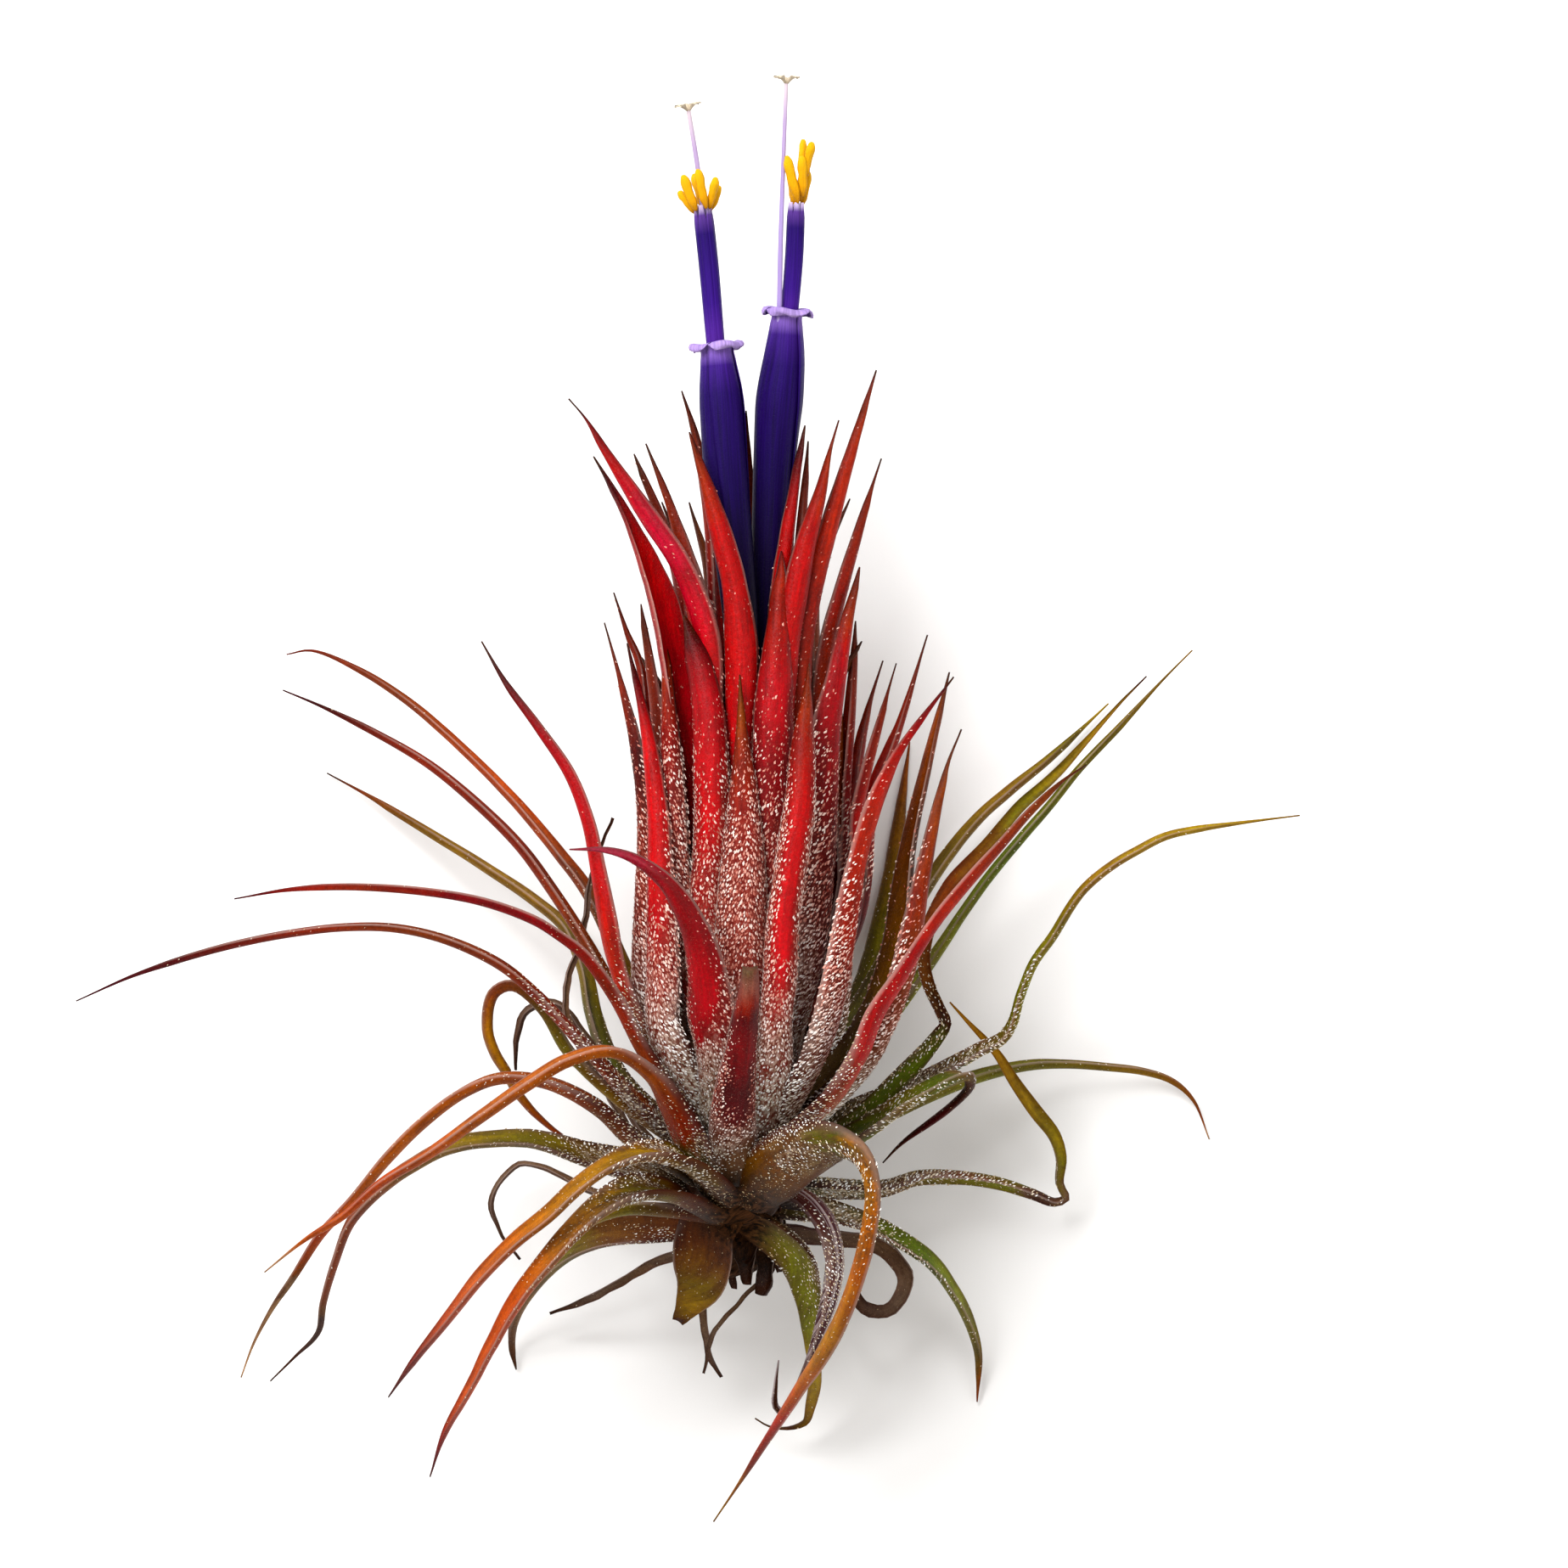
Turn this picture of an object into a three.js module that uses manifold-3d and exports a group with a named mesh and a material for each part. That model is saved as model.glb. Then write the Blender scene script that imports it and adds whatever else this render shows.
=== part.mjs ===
// A flowering air plant: a rosette of channelled leaves with two tubular flowers, lying on its side.
// Millimetres. +Y runs from the root to the flowers, +Z is up and z = 0 is the surface it lies on.
import * as THREE from 'three';
import { mergeVertices } from 'three/addons/utils/BufferGeometryUtils.js';
import Module from 'manifold-3d';

const wasm = await Module();
wasm.setup();

// Driving sizes
const CLEARANCE = 0.34; // kept between neighbouring pieces
const LEAF_THIN = 0.45; // a leaf's thickness is this plus a share of its width
const LEAF_THIN_SHARE = 0.28;
const LEAF_THICKEST = 1.6;
const EDGE_LIFT = 0.12; // how far a leaf's edges stand above its channel, as a share of its half width
const STATION_STEP = 8; // longest stretch of leaf between two sections
const WIDE_LEAF = 3.5; // wider leaves get a rounder section
const AXIS_FOOT = new THREE.Vector3(5, -39, 24); // the middle of the rosette at its root
const AXIS_HEAD = new THREE.Vector3(6.4, 12, 24.6);
const INWARD_WEIGHT = 3; // how much a leaf's face looks to the rosette's middle, against its own bend
const NEAR_TURN = 0.3; // how much more the faces of the near leaves look down, for each mm above the middle
const LARGE = 400; // wider than the whole plant
const WELD = 0.003; // points nearer than this are one
const ROUNDING = 1e-6;

// Leaf sections as shares of half width and thickness, from the left edge round the back
const NARROW_SECTION = [[-1, 0.3], [-0.5, -0.65], [0.5, -0.65], [1, 0.3], [0.45, 0.35], [-0.45, 0.35]];
const WIDE_SECTION = [[-1, 0.3], [-0.64, -0.42], [0, -0.7], [0.64, -0.42], [1, 0.3], [0.5, 0.3], [-0.5, 0.3]];
const HIDDEN_SECTION = [[-1, 0.2], [0, -0.65], [1, 0.2], [0, 0.4]];
const SOCKET_SECTION = [[-1, -0.7], [1, -0.7], [1, 0.4], [-1, 0.4]];

// Colours of the leaves and the flowers
const COLOURS = {
  crimson: [0xc01f2a, 0.5],
  red: [0xc9332a, 0.5],
  dusty_red: [0xa8564f, 0.7],
  orange: [0xd9822f, 0.5],
  brown_red: [0x8f3d24, 0.6],
  olive: [0x9a8430, 0.6],
  green: [0x7f9a3a, 0.6],
  purple: [0x5f2a3c, 0.6],
  dried: [0x6b5443, 0.85],
  violet: [0x2c118c, 0.45],
  lilac: [0x6a45b8, 0.5],
  cream: [0xd8cfe6, 0.6],
};

// Each leaf: its colour and its centre line from root to tip, as [x, y, z, width]
const ROSETTE_LEAVES = {
  rosette_leaf_01: ['dusty_red', [[5, -38.1, 32.4, 3.8], [4.6, -32.9, 38.4, 4.9], [5.4, -25.6, 44.6, 3.25],
    [5.8, -22.4, 47.1, 2.87], [6.3, -19.2, 49.2, 2.17], [6.4, -16.7, 51, 1.6]]],
  rosette_leaf_02: ['crimson', [[3.2, -34.2, 33, 3.6], [2.5, -26.2, 38.6, 3.9], [1.8, -21.7, 40.2, 4.78],
    [1.6, -18.8, 41, 3.71], [0.6, -13.9, 42.6, 2.44], [-2, -8.9, 43.6, 1.29], [-5.3, -6.1, 43.2, 0.6],
    [-8.4, -5, 42, 0.6], [-11.8, -4.9, 40.4, 0.6]]],
  rosette_leaf_03: ['red', [[6.4, -36.4, 31, 3.4], [8.8, -26, 36.4, 3.9], [8.9, -22.2, 37.4, 3.24],
    [9.2, -19, 38, 3.57], [9.6, -13.4, 38.2, 3.42], [10.1, -8.7, 38.1, 3.27], [11.2, -1.5, 37.6, 3.32],
    [11.7, 5.6, 36.3, 2.6], [12.3, 13.8, 34, 0.6]]],
  rosette_leaf_04: ['dusty_red', [[5, -34, 30, 3.8], [5.1, -26, 34, 4.4], [5.4, -17.9, 35.4, 5.32],
    [5.4, -13.1, 35.8, 5.59], [5.6, -6.6, 36, 4.71], [5.7, 0.6, 35.8, 2.94], [5.5, 6.1, 35.3, 1.55],
    [5.3, 12.7, 34.2, 0.6]]],
  rosette_leaf_05: ['red', [[8, -35, 29.5, 3.4], [12.7, -26, 34, 4.1], [14.1, -22.2, 34.6, 5.98],
    [14.9, -19, 34.7, 6.4], [15.7, -14.2, 34.4, 5.23], [16.6, -8.5, 33.8, 4.1], [17.3, -5.3, 33.3, 3.25],
    [18.5, -1.3, 32.6, 3.23], [19.7, 1.7, 31.7, 2.53], [21.5, 5.3, 30.6, 0.97], [26.9, 12.5, 27, 0.6]]],
  rosette_leaf_06: ['red', [[2, -33.5, 29.2, 3.6], [-1.7, -25.4, 33.5, 4.3], [-2.7, -22.5, 33.9, 3.99],
    [-2.7, -18.5, 33.8, 4.2], [-2.8, -12.1, 33.2, 3.76], [-3, -3.2, 32, 2.77], [-3.7, 3.9, 30.6, 1.98],
    [-4.6, 9.5, 29, 1.21], [-6.1, 15.9, 27, 0.6]]],
  rosette_leaf_07: ['dusty_red', [[6.6, -30, 29, 3.2], [7.5, -17.9, 32.4, 3.8], [8.3, -3.8, 33.9, 4.11],
    [8.7, 5.8, 34.1, 4.48], [8.9, 11.4, 33.6, 4], [9.2, 17.8, 32.7, 2.44], [9.4, 21, 32, 2.29],
    [9.5, 25.2, 31, 0.6]]],
  rosette_leaf_08: ['red', [[3.5, -30, 28.8, 3], [2.8, -17.8, 32, 3.6], [1.9, -11, 32.9, 4.08],
    [2.3, -4.6, 33.5, 4.09], [2.3, 1.9, 33.6, 3.94], [1.9, 9.1, 33, 3.45], [0.8, 14.7, 32, 3.02],
    [-0.3, 18.7, 31, 0.6]]],
  rosette_leaf_09: ['dusty_red', [[8.6, -30, 27.4, 3], [11.9, -18, 30.6, 3.6], [12.7, -13.9, 31.1, 4.63],
    [13.5, -5.1, 31.2, 4.72], [14.2, 7, 30.7, 3.79], [15.2, 12.4, 30, 2.46], [16, 17.2, 29.2, 1.93],
    [17.4, 23.6, 27.8, 0.6]]],
  rosette_leaf_10: ['dusty_red', [[2.6, -29, 27.6, 2.6], [0.3, -17.9, 30, 3], [-1.4, -5.8, 30.5, 3.59],
    [-1.7, 3.8, 30.3, 2.77], [-2, 9.4, 29.9, 1.71], [-2.1, 13.4, 29.5, 1.4], [-2.5, 16.8, 29, 0.6]]],
  rosette_leaf_11: ['red', [[5.2, -22, 28.6, 2.8], [5.3, 0.1, 31.8, 3.4], [5.3, 4.7, 32.1, 3.31],
    [5.3, 15.3, 32.2, 3.72], [4.6, 21.6, 32.1, 2.69], [3.2, 27.1, 31.8, 2.57], [1.5, 33.2, 31.3, 1.48],
    [0.2, 37.2, 30.8, 0.6]]],
  rosette_leaf_12: ['red', [[7.4, -23, 28, 2.6], [9.1, -2, 31.2, 3], [9.9, 14, 31.9, 3.35],
    [11.7, 24.3, 31.8, 2.5], [13.5, 31.2, 31.2, 1.56], [14.4, 35.2, 30.8, 0.76], [15.3, 38.4, 30.4, 0.6]]],
  rosette_leaf_13: ['orange', [[7.8, -22, 26.4, 2.4], [10.3, -4.9, 29.4, 2.6], [11.6, 10.2, 29.9, 2.4],
    [11.8, 16.3, 29.9, 2.84], [12.5, 20.3, 29.8, 2.82], [14.5, 28, 29.4, 2.25], [16.1, 33.4, 29, 1.6],
    [17.6, 38.7, 28.6, 1.05], [19.1, 43.5, 28.2, 0.6]]],
  rosette_leaf_14: ['crimson', [[4, -22, 28, 2.4], [2.4, 0.3, 30.6, 2.7], [1.9, 16.1, 30.6, 3.5],
    [-0.4, 23.1, 30.4, 2.95], [-3.9, 28.5, 30, 2.67], [-7.8, 34.5, 29.4, 1.24], [-10.3, 38.6, 28.9, 0.6],
    [-12, 40.6, 28.6, 0.6]]],
  rosette_leaf_15: ['crimson', [[3.4, -21, 26.4, 2.4], [0.1, -0.1, 28.4, 2.6], [-0.5, 6.5, 28.6, 3.97],
    [-1.7, 15.4, 28.6, 3.96], [-2.7, 20.1, 28.5, 4.05], [-5.6, 27.6, 28, 1.6], [-7.8, 31.9, 27.6, 0.92],
    [-9.5, 34.8, 27.2, 0.6]], [0.75, 0, 0.66]],
  rosette_leaf_16: ['red', [[7, -16, 27.6, 2.2], [8.4, 5.2, 29.6, 2.6], [9.3, 20.3, 30.2, 2.03],
    [10.1, 26.6, 30.2, 1.75], [10.8, 31.4, 30, 1.31], [11.3, 34.5, 29.8, 1.21], [11.9, 37.9, 29.6, 0.6]]],
  rosette_leaf_17: ['brown_red', [[8.4, -20, 25.2, 2.4], [11.9, -8.1, 27.4, 3], [13.1, 7.8, 27.4, 2.8],
    [14, 15.2, 27.3, 2.59], [14.7, 18.3, 27.2, 2.38], [16.9, 26, 26.6, 1.57], [18.5, 31.3, 26, 0.72],
    [19.6, 34.6, 25.6, 0.6]]],
  rosette_leaf_18: ['olive', [[0.4, -31, 26.4, 3.2], [-4.3, -22.2, 28, 3.8], [-4.5, -17.2, 28, 4.54],
    [-4.4, -14, 27.8, 4.41], [-4.2, -9.9, 27.6, 4.01], [-4.2, -1.8, 26.8, 2.83], [-5.3, 6.1, 26.2, 1.72],
    [-6.6, 11.6, 25.6, 0.72], [-8.4, 18, 24.8, 0.6]]],
  rosette_leaf_19: ['brown_red', [[10, -32, 26.4, 3], [17.5, -24.2, 28.2, 3.8], [21, -15.5, 27.8, 3.75],
    [21.7, -9.9, 27.4, 2.97], [22.3, -5.1, 27, 2.04], [24.2, 3.5, 25.8, 1.35], [26.5, 13, 24, 0.6]]],
  rosette_leaf_20: ['brown_red', [[10.6, -34, 28, 3], [18.2, -26, 31, 3.4], [21.3, -19.1, 31, 3.2],
    [22.7, -14, 30.4, 3.29], [23.2, -10.8, 29.9, 2.64], [24.3, -5.3, 29, 1.69], [26.2, 3.3, 26.8, 0.65],
    [27.7, 7.2, 25.8, 0.6]]],
  rosette_leaf_21: ['dusty_red', [[1.4, -27, 24.6, 2.6], [-3.3, -10, 25, 3], [-3.6, 4, 24.8, 2.6],
    [-2.8, 7, 24.7, 3.6], [-3.6, 13.4, 24.4, 1.85], [-4.7, 19.9, 24, 0.6]]],
};

const OUTER_LEAVES = {
  outer_leaf_01: ['orange', [[2, -33, 18, 2.8], [-6, -18, 17.4, 2.4], [-10, -9.5, 17, 2.1],
    [-13.1, -5.3, 16.4, 1.7], [-17.3, -0.3, 15.4, 1.4], [-23, 5.4, 13.6, 1.1], [-28.4, 10.1, 11.6, 0.9],
    [-33.8, 13.5, 9.4, 0.8], [-38.4, 15.3, 7.4, 0.7], [-40.9, 14.9, 6.4, 0.6]]],
  outer_leaf_02: ['brown_red', [[0, -33, 23.4, 2.8], [-6.5, -21, 24.4, 2.6], [-10.8, -13.4, 25, 2.1],
    [-13.8, -8.8, 25.2, 1.9], [-16.9, -4.6, 25.2, 1.7], [-21.2, -0.3, 24.8, 1.5], [-26.1, 3.7, 24, 1.2],
    [-31.9, 7.1, 23, 0.85], [-36.9, 9.5, 22, 0.7], [-41, 11.2, 21.2, 0.6]]],
  outer_leaf_03: ['olive', [[0, -35, 17.6, 3], [-7, -28, 15.8, 2.8], [-9.6, -22, 13.4, 2.4],
    [-10.6, -17, 11.4, 2.1], [-12.4, -13, 9.8, 1.9], [-15.4, -10.3, 8.4, 1.7], [-20.4, -6.9, 6.2, 1.5],
    [-26.1, -3.4, 3.8, 1.1], [-31.9, 0.1, 1.8, 0.8], [-36.9, 2.8, 0.4, 0.7]]],
  outer_leaf_04: ['crimson', [[0.6, -32, 28.4, 2.8], [-4.8, -22.6, 31.4, 2.8], [-7, -17, 32, 2.5],
    [-8, -12.5, 32, 3.27], [-9, -7, 31.8, 2.44], [-10, -2.2, 31.4, 1.9], [-11.9, 2.8, 30.8, 1.5],
    [-15, 7.4, 30, 1.1], [-18.4, 12, 28.8, 0.8], [-20.8, 16.1, 27.8, 0.6]]],
  outer_leaf_05: ['crimson', [[2.4, -35, 30, 3.2], [-2.9, -27.4, 34.4, 2.8], [-4.7, -24.5, 35.6, 2.41],
    [-7, -20, 37, 2.5], [-10.5, -15.3, 38.6, 1.97], [-13.1, -13.3, 39.1, 1.53], [-15.4, -11.9, 39.4, 1.5],
    [-20.4, -10.1, 39.4, 1.3], [-26.1, -9.1, 38.4, 1.1], [-33.8, -8.6, 36, 0.8], [-39.9, -8.9, 33.6, 0.7],
    [-45.7, -9.9, 31, 0.6]]],
  outer_leaf_06: ['brown_red', [[1.6, -36, 27, 3], [-5, -30.4, 30, 2.7], [-10.4, -24.6, 32.2, 2.2],
    [-15.4, -19.3, 33.6, 1.7], [-18.8, -16.5, 34, 1.6], [-24.2, -14, 33.8, 1.3], [-29.4, -12.8, 33, 1.2],
    [-34.7, -12.7, 31.6, 1.1], [-41.7, -13.6, 29, 1], [-48.7, -15.2, 26, 0.85], [-55.7, -17.5, 22.6, 0.7],
    [-62, -20.3, 19, 0.6]]],
  outer_leaf_07: ['olive', [[0, -35, 23.6, 2.6], [-7, -30, 26.6, 2.3], [-11.9, -25.4, 28.2, 2],
    [-14.6, -21, 28.6, 1.7], [-17.6, -18.7, 28, 1.4], [-19.6, -19.6, 26.8, 1.2], [-20.2, -22.4, 25.2, 1.2],
    [-19.6, -25.3, 24, 1.2], [-18.5, -27.3, 23, 1.1], [-16.8, -30.2, 21.6, 1], [-13.6, -33.4, 20, 0.9],
    [-9.7, -35.8, 18.6, 0.7]]],
  outer_leaf_08: ['orange', [[2.6, -39.3, 30.4, 3.2], [0.2, -34.6, 34.4, 4.4], [-1.4, -31, 37.4, 3.4],
    [-3.4, -27.6, 40.4, 2.7], [-7.5, -25.1, 43.2, 2.3], [-11.9, -26, 44.6, 2.3], [-15.4, -28, 44.6, 2.3],
    [-20.6, -31.6, 43, 2.1], [-25.9, -35.4, 40.4, 1.6], [-31.1, -38.6, 37.4, 1.1], [-34.7, -41.8, 35, 0.9],
    [-38.5, -44.2, 32.6, 0.75], [-42.7, -47.6, 30, 0.6]]],
  outer_leaf_09: ['orange', [[1, -38, 27.6, 3.2], [-5.4, -34, 32, 2.9], [-8.9, -30.9, 34.4, 2.6],
    [-13.9, -28.4, 36, 2.3], [-18.8, -27.9, 36, 2.1], [-22.4, -29.2, 34.8, 2.1], [-26.6, -32.3, 32.6, 2],
    [-30.1, -35.8, 30, 1.9], [-33.6, -40, 26.8, 1.5], [-37.2, -43.9, 23.2, 1.2], [-39.9, -48.1, 19.6, 0.8],
    [-42.1, -51.3, 17.4, 0.7], [-44.1, -55.1, 15.4, 0.65], [-45.4, -58.6, 14, 0.6]]],
  outer_leaf_10: ['brown_red', [[1, -39, 24, 3], [-4.6, -37.4, 25.4, 2.8], [-9.7, -36.1, 26.2, 2.6],
    [-15.4, -34.4, 26.2, 2.3], [-20.6, -34.4, 25.4, 2.1], [-24.2, -35.1, 24.4, 2],
    [-27.6, -36.8, 22.6, 1.9], [-31.1, -39.3, 20, 1.7], [-34.3, -42.8, 16.6, 1.4], [-36, -47, 12.6, 1.1],
    [-37.2, -50.9, 8.6, 0.9], [-37.9, -54.4, 4.6, 0.8], [-40.2, -56.8, 2, 0.75], [-42.7, -59.3, 0.4, 0.7]]],
  outer_leaf_11: ['orange', [[3.3, -39.8, 31.4, 3.2], [1.6, -37.6, 35.4, 3.8], [-0.9, -35.8, 38.8, 3.1],
    [-4.5, -35.3, 41.4, 2.6], [-7.7, -36.5, 42.6, 2.4], [-11.2, -39, 42.8, 2.3], [-13.9, -41.6, 42, 2.2],
    [-17.5, -44.5, 40, 2.1], [-21, -48.1, 37, 1.9], [-24.5, -52.6, 32.6, 1.4], [-27.6, -56.5, 28, 0.9],
    [-30.3, -60.4, 23, 0.6]]],
  outer_leaf_12: ['orange', [[2.6, -41.6, 30, 3], [-1.6, -39.4, 34.2, 4], [-5.4, -39.2, 37.2, 3.8],
    [-9.4, -41.4, 39, 3], [-14, -46.2, 39.4, 2.4], [-17.1, -50.2, 37.8, 2.2], [-19.6, -54.6, 35, 1.7],
    [-22, -59.3, 31.2, 1.2], [-24.6, -64, 26.6, 0.8], [-26.1, -68.5, 22, 0.6]]],
  outer_leaf_13: ['olive', [[3.6, -42.6, 21.6, 3.2], [-2.4, -43.2, 19.8, 3.8], [-8.7, -44.2, 16.4, 3.1],
    [-12.9, -46.4, 13, 2.4], [-16.1, -49.8, 9, 2.1], [-17.8, -53, 5, 1.5], [-18.1, -55.8, 1.8, 1.2],
    [-17.6, -58.1, 0.35, 0.7]]],
  outer_leaf_14: ['brown_red', [[3.4, -42, 26.4, 2.8], [-2.8, -41.2, 29, 2.8], [-6.6, -41.2, 29.8, 2.4],
    [-10.4, -42.6, 29.4, 2], [-13.4, -45, 27.6, 1.4], [-14.8, -47.4, 25.4, 0.8]]],
  outer_leaf_15: ['olive', [[4, -40.5, 25.4, 4], [2.2, -43, 25.4, 5.6], [1.7, -46.2, 24, 6.6],
    [1.4, -48.8, 22.2, 5], [0.2, -51, 20.4, 2.6], [-0.9, -52.8, 19, 1.2]], [0, 0.3, 1]],
  outer_leaf_16: ['orange', [[5.8, -40.1, 30.4, 3.6], [8.7, -37.5, 36, 4.8], [12.2, -35.2, 41, 4.8],
    [15.2, -34.4, 44.2, 3.8], [17.6, -35.8, 45.8, 3], [18.6, -38.6, 46, 2.4], [18.3, -42.8, 44.6, 2.3],
    [16.9, -48.3, 41, 2.2], [15.3, -52.5, 37, 2.1], [13.3, -56.3, 32.4, 1.9], [11.2, -59.6, 27.6, 1.4],
    [9.5, -62.4, 23.4, 1.1], [8.2, -64.5, 20, 0.8], [5.4, -69.1, 13.4, 0.65], [2.6, -73.4, 8.4, 0.6]]],
  outer_leaf_17: ['green', [[5.2, -41.8, 26, 2.6], [8.7, -43.9, 25.8, 3.2], [11.2, -46.4, 24, 3.2],
    [12.2, -49.7, 20.8, 2.3], [12.4, -53.8, 16.4, 1.5], [13, -58.5, 11, 1.4], [12.5, -61.7, 7, 1.1],
    [11.8, -63.4, 5, 0.8], [10.1, -64, 4.2, 0.65], [8.2, -63.8, 3.8, 0.6], [6.8, -63, 3.6, 0.6]]],
  outer_leaf_18: ['purple', [[8.6, -40, 25.4, 2.8], [11.8, -40.4, 28.2, 3.4], [13.8, -42.4, 29.6, 3.8],
    [14.7, -45.8, 28.6, 3.6], [14.4, -49.7, 26, 2.9], [13.3, -53.8, 22.4, 1.6], [12.4, -56.6, 19.8, 1.2],
    [11, -60, 16.4, 1], [9.7, -62.2, 14.6, 0.85], [8.9, -61.6, 14.8, 0.8], [8.9, -59.3, 16, 0.75],
    [9.2, -56.8, 17, 0.6]]],
  outer_leaf_19: ['green', [[8.6, -41, 18.4, 2.8], [14, -41.8, 17.4, 2.7], [19.1, -43.3, 15.6, 2.3],
    [22.1, -45, 14, 2.2], [24.9, -47.1, 11.8, 2], [27, -49.9, 9, 1.8], [28.7, -53.1, 5.6, 1.5],
    [29.7, -56.8, 2.4, 1.2], [29.5, -61.4, 0.35, 0.7]]],
  outer_leaf_20: ['green', [[9.6, -39, 17, 3], [15, -39.4, 14.2, 3], [20.2, -39.4, 12, 2.9],
    [23.5, -38.4, 10.6, 2.5], [27.6, -38.4, 9, 2.1], [31.7, -39, 7.4, 1.8], [35.3, -40.2, 6, 1.4],
    [37.4, -41, 5, 1], [38.4, -40.6, 5, 0.8], [37.8, -39, 6.4, 0.75], [37.9, -36.3, 8.4, 1.2],
    [37.2, -34.1, 9.6, 1.4], [35.3, -31.6, 10.8, 1.5], [33.2, -28.6, 11.6, 1.3], [31.3, -25.7, 12.2, 1.2],
    [28.2, -22.3, 12.2, 0.9], [26.6, -20.5, 12, 0.7]]],
  outer_leaf_21: ['olive', [[11.4, -36.6, 20, 2.8], [16, -33.8, 21.2, 2.6], [19, -31.2, 21.6, 2.3],
    [21.1, -28.9, 21.6, 2.2], [23, -26.7, 21.2, 2], [25, -24.4, 20.6, 1.7], [26.1, -22.7, 19.8, 1.3],
    [25.5, -21.2, 19, 1.2], [24.5, -18.9, 18, 1.3], [23.9, -16.1, 17.2, 1.4], [24.5, -12.6, 16.6, 1.5],
    [26.7, -8.5, 16.6, 1.5], [29.8, -5.1, 17, 1.4], [33.5, -0.8, 17.8, 1.2], [36.9, 2.3, 18.6, 1.1],
    [40.9, 6.6, 19.4, 0.8], [44, 10.1, 20, 0.7], [46.5, 12.6, 20.4, 0.6]]],
  outer_leaf_22: ['green', [[11.6, -34, 18, 2.8], [17, -31.4, 18.6, 2.4], [20.6, -29.8, 18.6, 2.1],
    [24.3, -28.1, 18.2, 1.9], [27.4, -26.5, 17.6, 2], [29.8, -25.2, 17, 1.9], [31.8, -24.2, 16.6, 1.6],
    [32.8, -22.8, 17.4, 1.3], [33.7, -19.7, 19, 1.2], [35, -16.5, 20.4, 1.2], [36.9, -13.8, 21.6, 1.2],
    [39.7, -9.4, 23.4, 1.1], [42.6, -6.8, 24.4, 1], [45.4, -5.1, 24.8, 0.95], [48.3, -3.6, 24.8, 0.85],
    [51.2, -2.9, 24.4, 0.75], [55.5, -2.3, 23.4, 0.65], [62, -1.5, 21.6, 0.6]]],
  outer_leaf_23: ['olive', [[11, -36.6, 14.6, 3], [20, -32, 11.6, 2.8], [28.7, -28.3, 8.8, 2.3],
    [34.7, -26.9, 6.8, 1.7], [38.7, -26.8, 5.4, 1.2], [42.7, -27.1, 4, 1.1], [46.6, -27.6, 2.6, 0.95],
    [49.5, -28.6, 1.6, 0.8], [51.6, -30.6, 0.9, 0.7], [53.2, -34.6, 0.35, 0.65]]],
  outer_leaf_24: ['green', [[11.4, -37, 22.2, 3], [16.3, -34.3, 23.8, 3.4], [19, -32.6, 24.8, 3.1],
    [21.6, -30.7, 25.2, 2.9], [24.3, -29.2, 24.8, 2.6], [26.6, -28, 23.8, 2.3], [28.2, -27.8, 22.4, 1.6],
    [28.5, -29, 20.8, 0.95], [26.8, -31, 18.8, 0.85], [24.3, -32.9, 17, 0.8], [21.6, -34.9, 15.6, 0.7],
    [19.8, -36.8, 15, 0.6]]],
  outer_leaf_25: ['olive', [[11, -32, 13, 2.8], [18.6, -19, 9.6, 2.5], [24.6, -8.2, 6.6, 2.1],
    [29.2, -2.2, 4.8, 1.6], [32.6, 0.9, 3.6, 1.4], [36.9, 4.4, 2, 1.1], [39.7, 6.9, 1, 0.8],
    [42.9, 9.9, 0.35, 0.65]]],
  outer_leaf_26: ['red', [[7.4, -37, 30, 3.6], [10.4, -33.4, 33, 4.1], [14.5, -29.7, 34.6, 3.6],
    [17.3, -25.2, 35.4, 2.9], [18.7, -21.6, 35.5, 3.52], [21.4, -17.5, 35.1, 3.08],
    [23.1, -14.8, 34.6, 2.36], [25.4, -11.5, 33.8, 2.24], [28.5, -7.8, 32.8, 2.16], [31.2, -4.8, 31.6, 1.5],
    [34.6, -1, 29.8, 1.1], [38, 2.1, 27.8, 0.7], [40.3, 3.6, 26.4, 0.6]]],
  outer_leaf_27: ['green', [[12, -32, 16, 2.6], [20.5, -22, 14.4, 2.3], [25.5, -15.1, 13.2, 1.7],
    [27.8, -11.6, 12.8, 1.4], [30.6, -7.7, 12.4, 1.4], [33.5, -4.2, 12, 1.3], [36.9, -0.3, 11.6, 1.1],
    [39.7, 3.2, 11.2, 0.9], [44, 7.7, 10.8, 0.7], [48.3, 12.3, 10.2, 0.6], [51.3, 15.3, 9.8, 0.6]]],
  under_leaf_01: ['olive', [[2.4, -36, 18, 3], [-1, -28, 9, 2.8], [-3, -20, 3.4, 2.6], [-4, -11, 0.7, 2.2],
    [-4.4, -2, 0.3, 1.6], [-4, 7, 0.5, 0.7]]],
  under_leaf_02: ['olive', [[6, -36, 16.6, 3], [7.4, -27, 8.6, 3], [8.6, -17, 2.6, 2.8],
    [9.6, -7, 0.5, 2.4], [10.4, 3, 0.3, 1.7], [11.4, 12, 0.5, 0.7]]],
  under_leaf_03: ['olive', [[9.6, -36, 17, 3], [14, -28, 9.6, 2.8], [18, -19, 3.6, 2.5],
    [20.4, -10, 0.9, 2.1], [21.6, -2, 0.3, 1.5], [22.6, 6, 0.5, 0.7]]],
};

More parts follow.
